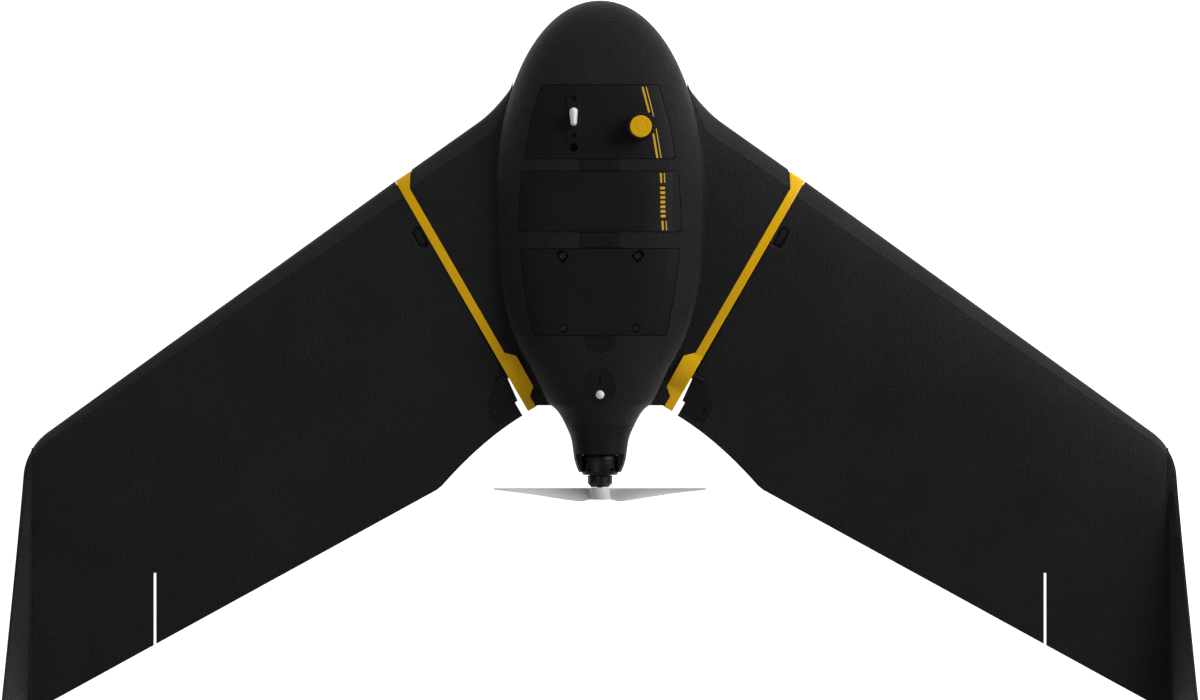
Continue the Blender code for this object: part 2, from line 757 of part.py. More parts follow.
def build_tail():
    """The foam neck and the smooth fairing whose two cheeks run beside the motor."""
    neck_rows = (BODY_REAR_Y - GAP, -42.0, -46.0, -50.0, -54.0, NECK_REAR_Y)
    neck = loft("tail_neck", "foam", [tail_ring(y) for y in neck_rows])
    boolean(neck, rod("neck_duct", None, (0, -30, MOTOR_Z), (0, -70, MOTOR_Z), 14.0, 20))
    rings = [tail_ring(y) for y in (NECK_REAR_Y - GAP, -64.0, -71.0, -79.0, -86.0)]
    for y, radius in ((-92.0, 24.8), (-98.0, 23.0), (-102.0, 21.4), (-104.0, 20.6)):
        rings.append(ring_at(y, radius, MOTOR_Z - radius, MOTOR_Z + radius, MOTOR_Z, 2.0))
    fairing = loft("tail_fairing", "shell_plastic", rings)
    boolean(fairing, rod("fairing_duct", None, (0, -50, MOTOR_Z), (0, -82, MOTOR_Z), 16.5, 24))
    boolean(fairing, rod("motor_bore", None, (0, -78.0, MOTOR_Z), (0, -112, MOTOR_Z), 20.0, 32))
    for name, centre_z in (("cheek_cut_top", MOTOR_Z + 24), ("cheek_cut_bottom", MOTOR_Z - 24)):
        boolean(fairing, box(name, None, (0, -102.0, centre_z), (60, 31.0, 27)))


def build_shells():
    """The two foam halves of the body, split along the waterline."""
    split_high = [[(x, y, WATERLINE_Z + GAP / 2) for x, y, _ in row] for row in shell_grid(upper_height)]
    split_low = [[(x, y, WATERLINE_Z - GAP / 2) for x, y, _ in row] for row in split_high]
    upper = slab("upper_shell", "foam", shell_grid(upper_height), split_high)
    lower = slab("lower_shell", "foam", split_low, shell_grid(lower_height))
    half, front, rear = CAMERA_BAY
    camera_hole = box("camera_bay", None, (0, (front + rear) / 2, 20), (2 * half, front - rear, 80))
    boolean(lower, camera_hole)
    boolean(lower, bay_cutter("modem_bay", MODEM_BAY, WATERLINE_Z + 5))
    boolean(lower, box("sensor_bay", None, (0, 206.5, 5), (25.0, 17.0, 22)))
    return upper, lower


def build_belly():
    """The flat plate that the drone lands on, with its openings for the camera and the ground sensor."""
    corner, half, front, rear = 16.0, 46.0, 226.0, -8.0
    outline = []
    for cx, cy, start in (
        (half - corner, front - corner, 0),
        (corner - half, front - corner, 90),
        (corner - half, rear + corner, 180),
        (half - corner, rear + corner, 270),
    ):
        for step in range(7):
            angle = math.radians(start + 15 * step)
            outline.append((cx + corner * math.cos(angle), cy + corner * math.sin(angle)))
    plate = prism("belly_plate", "shell_plastic", outline, 0.0, 3.0)
    half_bay, bay_front, bay_rear = CAMERA_BAY
    window = (2 * half_bay, bay_front - bay_rear, 20)
    boolean(plate, box("camera_window", None, (0, (bay_front + bay_rear) / 2, 0), window))
    boolean(plate, box("sensor_window", None, (0, 206.5, 0), (25.0, 17.0, 20)))


def build_electronics():
    """What the bays hold: battery, boards, modem, ground sensor and the camera."""
    box("battery", "grey_plastic", (0, 157.5, 73.2), (139, 44.5, 29.5), bevelled=2.0)
    box("gnss_receiver", "electronics", (-4, 235, 66.3), (62, 38, 7.8), bevelled=0.6)
    box("autopilot_board", "electronics", (0, 74, 62), (72, 46, 11), bevelled=0.8)
    box("speed_controller", "shell_plastic", (0, 45, 61), (44, 9, 9), bevelled=0.8)
    box("radio_modem", "metal", (0, 52, 24), (60, 62, 18), bevelled=1.0)
    box("ground_sensor", "shell_plastic", (0, 206.5, 8.3), (24.2, 16.2, 15.4), bevelled=0.8)
    camera = box("camera_body", "shell_plastic", (0, 150, 22.9), (61.2, 67.2, 44.2), bevelled=1.2)
    boolean(camera, rod("lens_well", None, (0, 150, -6), (0, 150, 12), 17.0, 32))
    lens = rod("camera_lens", "lens_glass", (0, 150, 2.2), (0, 150, 11.7), 13.5, 32)
    bevel(lens, 1.2)


# ---------------------------------------------------------------- motor and propeller


def build_motor():
    """Mount, stator, turning bell, shaft, adapter and the propeller's screw, all about one line."""
    turned(
        "motor_mount",
        "shell_plastic",
        [(3.2, -80.6), (19.6, -80.6), (19.6, -86.8), (19.2, -87.2), (3.2, -87.2)],
    )
    turned("motor_stator", "metal", [(3.2, -87.6), (13.6, -87.6), (13.6, -101.6), (3.2, -101.6)])
    bell = turned(
        "motor_bell",
        "shell_plastic",
        [
            (15.4, -88.2),
            (17.0, -87.8),
            (18.0, -88.8),
            (18.0, -104.6),
            (16.2, -106.8),
            (2.9, -106.8),
            (2.9, -102.6),
            (14.4, -102.6),
            (15.4, -101.6),
        ],
    )
    for k in range(BELL_VENTS):
        angle = 2 * math.pi * (k + 0.5) / BELL_VENTS
        x, z = math.cos(angle), math.sin(angle)
        start, end = (14.0 * x, -99.6, MOTOR_Z + 14.0 * z), (20.0 * x, -99.6, MOTOR_Z + 20.0 * z)
        boolean(bell, rod(f"bell_vent_{k}", None, start, end, 1.3, 8))
    turned(
        "prop_adapter",
        "shell_plastic",
        [(2.9, -107.2), (11.4, -107.2), (12.2, -108.2), (12.2, -114.6), (8.6, -118.4), (2.9, -118.4)],
    )
    rod("motor_shaft", "metal", (0, -84.5, MOTOR_Z), (0, -127.4, MOTOR_Z), 2.5, 16)
    screw = rod("prop_screw", "metal", (0, -128.0, MOTOR_Z), (0, -130.6, MOTOR_Z), 4.6, 16)
    boolean(screw, rod("screw_hex", None, (0, -129.6, MOTOR_Z), (0, -134, MOTOR_Z), 2.4, 6))


def blade_section(radius, side, points=14):
    """A cambered section of the blade at a radius, with its front edge in the blades' front plane."""
    t = (radius - BLADE_RADII[0]) / (BLADE_RADII[-1] - BLADE_RADII[0])
    chord = float(np.interp(radius, BLADE_RADII, BLADE_CHORDS))
    pitch = math.atan(PROPELLER_LEAD / (2 * math.pi * max(radius, 17.0)))
    thickness = 2.9 * (1 - 0.72 * t)
    ring = []
    for k in range(points):
        angle = 2 * math.pi * k / points
        along = 0.5 * chord * math.cos(angle) - 1.6 * t**2
        across = 0.5 * thickness * math.sin(angle) + 0.9 * (1 - math.cos(angle) ** 2)
        y = along * math.sin(pitch) - across * math.cos(pitch)
        z = along * math.cos(pitch) + across * math.sin(pitch)
        ring.append((side * radius, y, MOTOR_Z + side * z))
    lift = BLADE_FRONT_Y - max(y for _, y, _ in ring)
    return [(x, y + lift, z) for x, y, z in ring]


def build_propeller():
    """Two twisted blades on a round hub."""
    front, rear = HUB_FRONT_Y, HUB_REAR_Y
    hub = turned(
        "propeller",
        "grey_plastic",
        [(2.9, front), (9.6, front), (10.2, front - 0.8), (10.2, rear + 0.6), (9.6, rear), (2.9, rear)],
    )
    for side, name in ((1, "blade_right"), (-1, "blade_left")):
        stations = (6.0, 14.0, 20.0, 27.0, 34.0, 47.0, 60.0, 70.0, 80.0, 91.0, 98.0, 102.4)
        boolean(hub, loft(name, None, [blade_section(r, side) for r in stations]), "UNION")
    boolean(hub, rod("hub_bore", None, (0, -110, MOTOR_Z), (0, -140, MOTOR_Z), 2.9, 16))
    boolean(hub, rod("screw_recess", None, (0, -127.8, MOTOR_Z), (0, -140, MOTOR_Z), 5.4, 20))


# ---------------------------------------------------------------- wings, built once for each side


def span_point(chord, out, z, side):
    point = root_point(chord, out, side)
    return Vector((point.x, point.y, z))


def hinge_point(out, ahead, z, side):
    """A point out along the hinge line, and ahead of it square to the line."""
    point = root_point(HINGE_CHORD) + ALONG * out + FORWARD * ahead
    return Vector((side * point.x, point.y, z))


def spar_rod(name, slot, inner, outer, radius, side, sides=16):
    start, end = span_point(SPAR_CHORD, inner, SPAR_Z, side), span_point(SPAR_CHORD, outer, SPAR_Z, side)
    return rod(name, slot, start, end, radius, sides)


def hinge_rod(name, slot, inner, outer, radius, side, sides=20):
    start, end = hinge_point(inner, 0, HINGE_Z, side), hinge_point(outer, 0, HINGE_Z, side)
    return rod(name, slot, start, end, radius, sides)


def mirrored(points, side):
    return [[(side * x, y, z) for x, y, z in row] for row in points]


def rib_point(chord, share):
    """A plan point on the rib, from its outer face (share 0) to its inner edge (share 1)."""
    depth = rib_inboard(chord) * share
    ahead = 0.052 * depth if chord < 100.0 else 0.0
    normal = Vector((-ROOT_LINE.y, ROOT_LINE.x))
    return Vector((ROOT_X, ROOT_Y)) + ROOT_LINE * (chord - ahead) - normal * depth


def rib_grids(chords, shares):
    """The rib's upper and lower surface: proud of the foam, and raised over the servo's shaft."""
    high, low = [], []
    for chord in chords:
        proud = 0.35 * min(chord, 1.0)
        raised = RIB_RAISED * max(0.0, 1 - ((chord - HINGE_CHORD) / RIB_RAISED_REACH) ** 2)
        plan = [rib_point(chord, share) for share in shares]
        high.append([(p.x, p.y, body_top(p.x, p.y) + proud + raised) for p in plan])
        low.append([(p.x, p.y, body_bottom(p.x, p.y) - proud) for p in plan])
    return high, low


def build_rib(side, word):
    """The yellow rib between body and wing, with a raised part over the servo's shaft."""
    chords = [0.0, 0.8, 2.5, 6.0, 30.0, 80.0, 125.0, 175.0, 212.0, 220.0, 229.0]
    chords += [chord for chord, _ in RIB_OUTLINE[1:]]
    high, low = rib_grids(sorted(chords), (1.0, 0.5, 0.0))
    rib = slab(f"root_rib_{word}", "yellow_plastic", mirrored(high, side), mirrored(low, side))
    boolean(rib, spar_rod(f"rib_spar_hole_{word}", None, -40, 20, 6.9, side, 20))
    boolean(rib, hinge_rod(f"rib_shaft_hole_{word}", None, -30, 10, HUB_RADIUS + 0.5, side))


def build_strake_guard(side, word):
    """The tougher front edge of the body's strake."""
    xs = [86.8, 91.0, 97.0, 102.5, 112.0, 125.0, 140.0, 160.0, 182.2]
    shares = (0.0, 0.03, 0.12, 0.3, 0.6, 1.0)
    high, low = [], []
    for x in xs:
        front, rear = leading_edge(x), guard_inner(x)
        ys = [front + (rear - front) * share for share in shares]
        high.append([(x, y, wing_top(x, y)) for y in ys])
        low.append([(x, y, wing_bottom(x, y)) for y in ys])
    return slab(f"strake_guard_{word}", "foam", mirrored(high, side), mirrored(low, side))


def guard_width(share):
    return 17.0 - 8.5 * share


def guard_direction(share):
    direction = ROOT_LINE * (1 - share) + Vector((0.0, -1.0)) * share
    return direction.normalized()


def wing_shares():
    return [0.0, 0.08, 0.2, 0.35, 0.5, 0.65, 0.8, 0.9, 0.945, 0.975, 1.0]


def guard_front(share):
    x = (ROOT_X + 0.4) + (TIP_X - GAP / 2 - ROOT_X - 0.4) * share
    return Vector((x, leading_edge(x)))


def build_wing_guard(side, word):
    """The tougher front edge of the wing, from the root to the tip's corner."""
    high, low = [], []
    for share in wing_shares():
        front = guard_front(share)
        reach = guard_direction(share) * guard_width(share)
        plan = [front + reach * v for v in (0.0, 0.03, 0.12, 0.3, 0.6, 1.0)]
        high.append([(p.x, p.y, wing_top(p.x, p.y)) for p in plan])
        low.append([(p.x, p.y, wing_bottom(p.x, p.y)) for p in plan])
    return slab(f"wing_guard_{word}", "foam", mirrored(high, side), mirrored(low, side))


def build_wing_panel(side, word):
    """The foam panel behind the guard, without the elevon."""
    root_rear = root_point(278.0, 0.4)
    high, low = [], []
    for share in wing_shares():
        front = guard_front(share) + guard_direction(share) * (guard_width(share) + GAP)
        rear_x = root_rear.x + (TIP_X - GAP / 2 - root_rear.x) * share
        rear = Vector((rear_x, trailing_edge(rear_x)))
        if share == 1.0:
            front.x = rear.x
        plan = [front.lerp(rear, v) for v in (0.0, 0.08, 0.2, 0.35, 0.5, 0.62, 0.74, 0.85, 0.94, 1.0)]
        high.append([(p.x, p.y, wing_top(p.x, p.y)) for p in plan])
        low.append([(p.x, p.y, wing_bottom(p.x, p.y)) for p in plan])
    panel = slab(f"wing_panel_{word}", "foam", mirrored(high, side), mirrored(low, side))
    slit_out = (SLIT_X + SLIT_WIDTH / 2 - root_point(HINGE_CHORD).x) / ALONG.x
    cut = [
        hinge_point(-60, HINGE_GAP, 0, 1),
        hinge_point(slit_out, HINGE_GAP, 0, 1),
        Vector((SLIT_X + SLIT_WIDTH / 2, -340, 0)),
        Vector((-10, -340, 0)),
    ]
    boolean(panel, prism(f"elevon_space_{word}", None, [(side * p.x, p.y) for p in cut], 0, 90))
    boolean(panel, spar_rod(f"wing_spar_hole_{word}", None, -20, SPAR_OUTBOARD + GAP, 5.5, side))
    boolean(panel, hinge_rod(f"hub_notch_{word}", None, -20, 15, HUB_RADIUS + 0.5, side))
    return panel


def build_latch(panel, side, word):
    """The button in the finger recess at the wing's root, which frees the wing."""
    centre = span_point(LATCH_CHORD, 7.0, 0, side)
    surface = wing_top(abs(centre.x), centre.y)
    turn = side * (math.pi / 2 - SWEEP)
    recess = box(f"latch_recess_{word}", None, (centre.x, centre.y, surface + 5), (24, 12, 16), turn=turn)
    bevel(recess, 4.0, 3)
    boolean(panel, recess)
    well_centre, button_centre = (centre.x, centre.y, surface - 2), (centre.x, centre.y, surface - 4.4)
    boolean(panel, box(f"latch_well_{word}", None, well_centre, (16.8, 7.8, 18), turn=turn))
    button = box(f"wing_latch_{word}", "shell_plastic", button_centre, (16, 7, 6.4), turn=turn)
    bevel(button, 1.2)


def build_spar(upper, side, word):
    """The carbon tube fixed in the wing, and the sleeve in the body that it slides into."""
    spar = spar_rod(f"wing_spar_{word}", "carbon", -SPAR_INBOARD, SPAR_OUTBOARD, SPAR_RADIUS, side)
    boolean(spar, spar_rod(f"spar_bore_{word}", None, -SPAR_INBOARD - 10, SPAR_OUTBOARD + 10, 3.8, side, 12))
    sleeve = spar_rod(f"spar_sleeve_{word}", "metal", -SPAR_INBOARD - 8, -1.0, 6.5, side, 20)
    boolean(sleeve, spar_rod(f"sleeve_bore_{word}", None, -SPAR_INBOARD - 3, 10, 5.45, side))
    boolean(upper, spar_rod(f"sleeve_hole_{word}", None, -SPAR_INBOARD - 8.4, 20, 6.9, side, 20))


def elevon_rear(share):
    """The elevon's trailing edge: a shallow scoop clear of the propeller, then the straight edge."""
    if share < 0.36:
        reach = (SCOOP_END_X - SCOOP_ROOT_X) * share / 0.36
        return Vector((SCOOP_ROOT_X + reach, SCOOP_ROOT_Y - 0.6034 * reach - 0.003432 * reach**2))
    x = SCOOP_END_X + (SLIT_X - SLIT_WIDTH / 2 - SCOOP_END_X) * (share - 0.36) / 0.64
    return Vector((x, trailing_edge(x)))


def elevon_grid(height, shares, across, grooved):
    """Rows over the elevon, from its front edge or from the back of the groove below the hinge."""
    end_out = (SLIT_X - SLIT_WIDTH / 2 - root_point(HINGE_CHORD).x) / ALONG.x
    grid = []
    for share in shares:
        eased = share if share > 0.36 else share * 0.8 + 0.2 * share * share / 0.36
        out = ELEVON_ROOT + (end_out - ELEVON_ROOT) * eased
        front = root_point(HINGE_CHORD) + ALONG * out - FORWARD * HINGE_GAP
        rear = elevon_rear(share)
        if grooved:
            depth = wing_top(front.x, front.y) - wing_bottom(front.x, front.y)
            front = front.lerp(rear, min(depth * math.tan(GROOVE_ANGLE) / (rear - front).length, 0.6))
        plan = [front.lerp(rear, v) for v in across]
        grid.append([(p.x, p.y, height(p.x, p.y)) for p in plan])
    return grid


def build_elevon(side, word):
    """The control surface, hinged along its upper front edge, with a groove angle below."""
    shares = (0.0, 0.12, 0.24, 0.36, 0.48, 0.6, 0.75, 0.88, 1.0)
    across = (0.0, 0.3, 0.65, 1.0)
    high = elevon_grid(wing_top, shares, across, False)
    low = elevon_grid(wing_bottom, shares, across, True)
    return slab(f"elevon_{word}", "foam", mirrored(high, side), mirrored(low, side))


def horn_grid(grow, height, side):
    """The horn's kite shaped plate, in rows from near the root outwards, as (out, back) from the hinge."""
    near = [(0.9, -0.5), (1.4, 6.0), (2.2, 14.0), (3.2, 26.2), (6.8, 27.0), (8.2, 36.0)]
    far = [(12.0, -0.5), (20.0, 6.5), (28.5, 13.5), (32.5, 23.0), (32.8, 26.0), (31.0, 36.5)]
    rows = []
    for index, (inner, outer) in enumerate(zip(near, far)):
        back = {0: -grow, len(near) - 1: grow}.get(index, 0.0)
        row = []
        for t in (0.0, 0.25, 0.5, 0.75, 1.0):
            out = inner[0] - grow + (outer[0] - inner[0] + 2 * grow) * t
            p = hinge_point(out, -(inner[1] + (outer[1] - inner[1]) * t + back), 0, 1)
            row.append((side * p.x, p.y, height(p.x, p.y)))
        rows.append(row)
    return rows


def build_horn(elevon, side, word):
    """The plastic horn let into the elevon's root, whose hub takes the servo's drive on the hinge line."""
    high = horn_grid(0.0, lambda x, y: wing_top(x, y) + 0.15, side)
    low = horn_grid(0.0, lambda x, y: wing_top(x, y) - HORN_DEPTH, side)
    horn = slab(f"elevon_horn_{word}", "shell_plastic", high, low)
    boolean(horn, hinge_rod(f"horn_hub_{word}", None, 0.8, 11.5, HUB_RADIUS, side), "UNION")
    slot_centre = hinge_point(2.0, 0, HINGE_Z, side)
    boolean(horn, box(f"drive_slot_{word}", None, slot_centre, (9.0, 3.8, 1.8), turn=-side * SWEEP))
    pocket_high = horn_grid(GAP, lambda x, y: wing_top(x, y) + 12, side)
    pocket_low = horn_grid(GAP, lambda x, y: wing_top(x, y) - HORN_DEPTH - GAP, side)
    boolean(elevon, slab(f"horn_pocket_{word}", None, pocket_high, pocket_low))


def build_servo(upper, lower, side, word):
    """The servo in the body, and the drive on its shaft, in line with the hinge."""
    centre = hinge_point(-31.0, 5.0, HINGE_Z - 0.4, side)
    turn = -side * SWEEP
    box(f"servo_{word}", "shell_plastic", centre, (20.0, 22.0, 9.6), turn=turn, bevelled=0.6)
    pocket = box(f"servo_pocket_{word}", None, centre, (20.8, 22.8, 10.4), turn=turn)
    boolean(upper, pocket)
    boolean(upper, hinge_rod(f"drive_hole_{word}", None, -32, 20, HUB_RADIUS - 0.1, side))
    boolean(lower, pocket)
    drive = hinge_rod(f"servo_drive_{word}", "grey_plastic", -20.4, -0.6, HUB_RADIUS - 0.5, side)
    tongue = box(f"drive_tongue_{word}", None, hinge_point(1.4, 0, HINGE_Z, side), (7.0, 3.0, 1.1), turn=turn)
    boolean(drive, tongue, "UNION")


def winglet_section(y, side):
    """The winglet's section at a station along its foot, with its upper part raked back."""
    low, high = wing_bottom(TIP_X, y), wing_top(TIP_X, y)
    outer = TIP_OUTER_X
    for x in np.linspace(TIP_X, TIP_OUTER_X, 60):
        if leading_edge(float(x)) <= y + 0.6:
            outer = float(x)
            break
    run = max((WINGLET_FRONT_Y - y) / (WINGLET_FRONT_Y - WINGLET_REAR_Y), 0.0)
    rise = run * WINGLET_HEIGHT
    width = outer - TIP_X - GAP
    edge = max(4.2 - 1.0 * run, 0.1)
    inner = TIP_X + GAP
    top_outer = inner + width * (0.97 if rise else 0.72) + WINGLET_LEAN * run**1.15
    section = [
        (inner, low + 0.2),
        (inner + 0.55 * width, low + 0.12 * (high - low)),
        (inner + 0.9 * width, low + 0.42 * (high - low)),
        (inner + width, high - 0.1 * (high - low)),
        (top_outer, high + rise * 0.96),
        (top_outer - 0.5 * min(edge, 0.5 * width + rise), high + rise),
        (top_outer - min(edge, 0.9 * width + rise), high + rise * 0.95 - 0.05),
        (inner + (0.12 + 0.45 * run) * width, high + 0.02 * rise - 0.1),
        (inner, high - 0.15),
    ]
    rake = WINGLET_RAKE * run
    return [(side * x, y - rake * max(z - high, 0.0) / WINGLET_HEIGHT, z) for x, z in section]


def build_winglet(side, word):
    """The canted winglet, whose foot closes the wing's tip."""
    stations = [-83.0, -86.0, -91.0, -98.0, -111.0, -130.0, -165.0, -205.0, -250.0, -295.0, WINGLET_REAR_Y]
    loft(f"winglet_{word}", "foam", [winglet_section(y, side) for y in stations])


def build_side(upper, lower, side, word):
    build_rib(side, word)
    build_strake_guard(side, word)
    build_wing_guard(side, word)
    panel = build_wing_panel(side, word)
    build_latch(panel, side, word)
    build_spar(upper, side, word)
    elevon = build_elevon(side, word)
    build_horn(elevon, side, word)
    build_servo(upper, lower, side, word)
    build_winglet(side, word)


def hang_moving_pieces():
    """Puts each moving piece's parent on the axis that it turns about or slides along."""
    group = ("propeller", "prop_adapter", "prop_screw", "motor_bell", "motor_shaft")
    hang("propeller_axis", (0, HUB_FRONT_Y, MOTOR_Z), group)
    hang("battery_hatch_axis", (0, BATTERY_HATCH[1] - GAP, HATCH_HINGE_Z), ("battery_hatch",))
    for side, word in ((1, "right"), (-1, "left")):
        hinge = hinge_point(0, 0, HINGE_Z, side)
        latch = span_point(LATCH_CHORD, 7.0, SPAR_Z, side)
        wing = [f"{piece}_{word}" for piece in ("wing_panel", "wing_guard", "wing_spar", "winglet")]
        hang(f"wing_axis_{word}", span_point(SPAR_CHORD, 0, SPAR_Z, side), wing)
        hang(f"elevon_axis_{word}", hinge, (f"elevon_{word}", f"elevon_horn_{word}"))
        hang(f"servo_drive_axis_{word}", hinge, (f"servo_drive_{word}",))
        hang(f"wing_latch_axis_{word}", latch, (f"wing_latch_{word}",))


def main():
    upper, lower = build_shells()
    front_cover = build_covers(upper)
    build_airspeed(front_cover)
    build_antenna()
    build_beacon(upper)
    build_tail()
    build_belly()
    build_electronics()
    build_motor()
    build_propeller()
    for side, word in ((1, "right"), (-1, "left")):
        build_side(upper, lower, side, word)
    hang_moving_pieces()


main()
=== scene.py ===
"""The looks of the fixed wing drone: fine surfaces, materials, camera, light and floor.

Shape formulas and their sizes are in millimetres, as in the model's own source. Meshes are made in metres.
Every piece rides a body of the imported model.
"""

import math

import bmesh
import bpy
import numpy as np
from mathutils import Matrix, Vector


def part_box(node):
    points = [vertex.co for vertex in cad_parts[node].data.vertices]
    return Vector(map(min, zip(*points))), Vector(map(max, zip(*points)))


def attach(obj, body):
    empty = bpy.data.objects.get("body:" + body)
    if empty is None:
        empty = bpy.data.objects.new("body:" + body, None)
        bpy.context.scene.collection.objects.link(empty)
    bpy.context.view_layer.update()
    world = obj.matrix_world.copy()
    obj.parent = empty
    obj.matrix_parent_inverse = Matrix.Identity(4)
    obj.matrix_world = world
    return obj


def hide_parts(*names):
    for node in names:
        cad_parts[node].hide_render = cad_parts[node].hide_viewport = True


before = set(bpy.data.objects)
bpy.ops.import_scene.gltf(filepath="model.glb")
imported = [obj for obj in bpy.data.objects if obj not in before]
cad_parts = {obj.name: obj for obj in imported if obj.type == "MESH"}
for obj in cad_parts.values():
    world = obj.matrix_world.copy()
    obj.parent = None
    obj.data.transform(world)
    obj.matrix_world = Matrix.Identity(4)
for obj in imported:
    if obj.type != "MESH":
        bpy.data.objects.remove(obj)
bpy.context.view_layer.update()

MM = 0.001
GAP = 0.3

# Plan outline of the body
NOSE_Y = 351.9
WIDEST_Y = 165.0
POD_HALF_WIDTH = 100.1
WATERLINE_Z = 46.0
CROWN_Z = 104.0
KEEL_Z = 0.5
BELLY_FLAT_Z = 3.3
BODY_REAR_Y = -39.5
NECK_REAR_Y = -58.5
MOTOR_Z = 62.0

# Wing planform and section
WING_Z = 46.0
ROOT_X, ROOT_Y = 198.0, 177.3
LEADING_SLOPE = 0.7225
STRAKE_SLOPE = 0.7065
TRAILING_X, TRAILING_Y, TRAILING_SLOPE = 164.3, -124.9, 0.5486
SCOOP_ROOT_X, SCOOP_ROOT_Y, SCOOP_END_X = 74.9, -49.5, 154.9
STRAKE_X, STRAKE_REACH, STRAKE_RISE = 118.0, 32.0, 11.0
STRAKE_START_X, STRAKE_START_Y = 85.0, 264.0
TIP_X = 548.0
TIP_OUTER_X = 557.4
TIP_RADIUS = 57.0
WING_THICKNESS = 0.105
FILLET = 20.0
SWEEP = math.radians(29.3)
ALONG = Vector((math.cos(SWEEP), -math.sin(SWEEP)))
FORWARD = Vector((math.sin(SWEEP), math.cos(SWEEP)))
ROOT_LINE = Vector((-0.5, -math.sqrt(0.75)))

# Hinge, servo and spar
HINGE_CHORD = 216.7
HINGE_Z = 54.8
ELEVON_ROOT = 6.8
SLIT_X, SLIT_WIDTH = 430.2, 2.4
GROOVE_ANGLE = math.radians(28)
SPAR_CHORD, SPAR_Z = 97.7, 53.0
SPAR_INBOARD, SPAR_OUTBOARD = 72.0, 300.0
SPAR_HOLE_RADIUS, SLEEVE_HOLE_RADIUS = 5.5, 6.9
HINGE_GAP = 0.3
HUB_RADIUS = 2.9
LATCH_CHORD = 59.2
HORN_DEPTH = 3.3
PAD_PLACE = (101.6, -18.9)

# Winglet
WINGLET_HEIGHT = 68.0
WINGLET_FRONT_Y, WINGLET_REAR_Y = -105.0, -334.0
WINGLET_LEAN = 22.9
WINGLET_RAKE = 17.4

COVER_THICKNESS = 3.0
COVER_CORNER = 3.3
SEAT_GROW = 0.6

# Stations of the body behind its widest point: y, half width, keel, crown, waterline
STATIONS = [
    (WIDEST_Y, POD_HALF_WIDTH, KEEL_Z, CROWN_Z, WATERLINE_Z),
    (85.0, 96.4, KEEL_Z, CROWN_Z, WATERLINE_Z),
    (43.0, 88.0, KEEL_Z, 103.0, WATERLINE_Z),
    (16.0, 77.3, 3.0, 101.5, WATERLINE_Z),
    (-10.0, 63.2, 9.0, 99.0, 47.5),
    (-30.0, 53.4, 17.0, 96.0, 50.5),
    (-38.0, 48.8, 21.0, 94.7, 52.7),
    (-43.5, 42.4, 23.9, 93.6, 54.6),
    (-50.0, 37.7, 27.5, 92.0, 57.0),
    (NECK_REAR_Y, 33.3, 31.0, 90.0, 59.5),
    (-71.0, 28.1, 35.0, 88.5, 61.5),
    (-86.0, 25.7, MOTOR_Z - 25.7, MOTOR_Z + 25.7, MOTOR_Z),
]

# Root rib, in millimetres behind the leading edge and inboard of the wing's root face
RIB_OUTLINE = [
    (0.0, 17.6),
    (13.7, 8.6),
    (55.0, 8.5),
    (97.0, 8.5),
    (150.0, 8.5),
    (196.5, 8.5),
    (204.7, 17.0),
    (238.7, 16.4),
    (245.4, 8.7),
    (256.9, 8.7),
]
RIB_RAISED, RIB_RAISED_REACH = 4.6, 19.0

# Covers: front y, rear y, then half widths from front to rear
FRONT_COVER = (270.0, 198.8, (56.0, 66.5, 73.0))
BATTERY_HATCH = (186.4, 128.2, (75.0, 77.6, 78.4))
SERVICE_COVER = (111.8, 28.4, (77.0, 72.0, 64.0))

# Bays: half width, front y, rear y, floor z
FRONT_BAY = (50.0, 262.0, 206.0, 62.0)
BATTERY_BAY = (71.5, 181.0, 134.0, 57.8)
SERVICE_BAY = (50.0, 101.0, 39.0, 56.0)
CAMERA_BAY = (31.0, 184.0, 116.0)

SERVICE_SCREWS = [(-36.0, 104.8), (36.4, 104.8), (-35.0, 35.4), (35.0, 35.4)]
ANTENNA_X, ANTENNA_Y = 39.4, 229.8
AIRSPEED_X = -25.4
PROBE_FRONT_Y, PROBE_REAR_Y = 244.0, 233.2
PROBE_FRONT_RADIUS, PROBE_REAR_RADIUS = 4.1, 3.1
# Ports on the airspeed base: name, y and radius of the near-black disc of painted shade at each
PORT_SHADE_DISCS = (("port_shade_front", 257.0, 2.7), ("port_shade_rear", 221.2, 2.5))
BUZZER_Y, BUZZER_RADIUS = 209.6, 3.9
BEACON_Y, BEACON_LENS_Y, BEACON_SLOT_Y = -21.0, -29.1, -15.5
BEACON_HALF_WIDTH, BEACON_HALF_LENGTH = 14.8, 16.8
FINGER_PLATE_HALF, FINGER_PLATE_THICKNESS = 19.3, 2.0
NOTCH_RADIUS, NOTCH_DEPTH = 10.6, 0.6

# Printed marks: line widths, the label field, and the dashes that stand on the hatch's stripe
WIDE_LINE, THIN_LINE = 1.9, 1.0
LABEL_INNER_X, LABEL_OUTER_X = 45.0, 70.0
BAR_SPANS = ((175.4, 184.9), (129.6, 138.7))
BAR_TOP_Y, BAR_SLOPE, DASH_SLOPE = 184.9, 28, 60
DASHES, DASH_TOP_Y, DASH_PITCH, DASH_LENGTH, DASH_WIDTH = 7, 171.6, 4.5, 2.6, 4.6

# Motor and adapter
SHAFT_BORE = 2.9
BELL_RADIUS = 18.0
BELL_VENTS, VENT_Y = 10, -101.4
FLATS, FLAT_REACH, FLAT_Y = 6, 12.6, -111.5

# Blade chords against radius, and the plane that the blades' front edges lie in
BLADE_RADII = (6.0, 20.0, 34.0, 47.0, 60.0, 80.0, 91.0, 98.0, 102.4)
BLADE_CHORDS = (12.0, 17.0, 19.2, 19.7, 18.3, 14.0, 10.0, 6.5, 2.5)
BLADE_FRONT_Y, HUB_FRONT_Y, HUB_REAR_Y = -119.4, -118.8, -130.8
PROPELLER_LEAD = 152.0

# ---------------------------------------------------------------- mesh helpers

CUTTERS = []


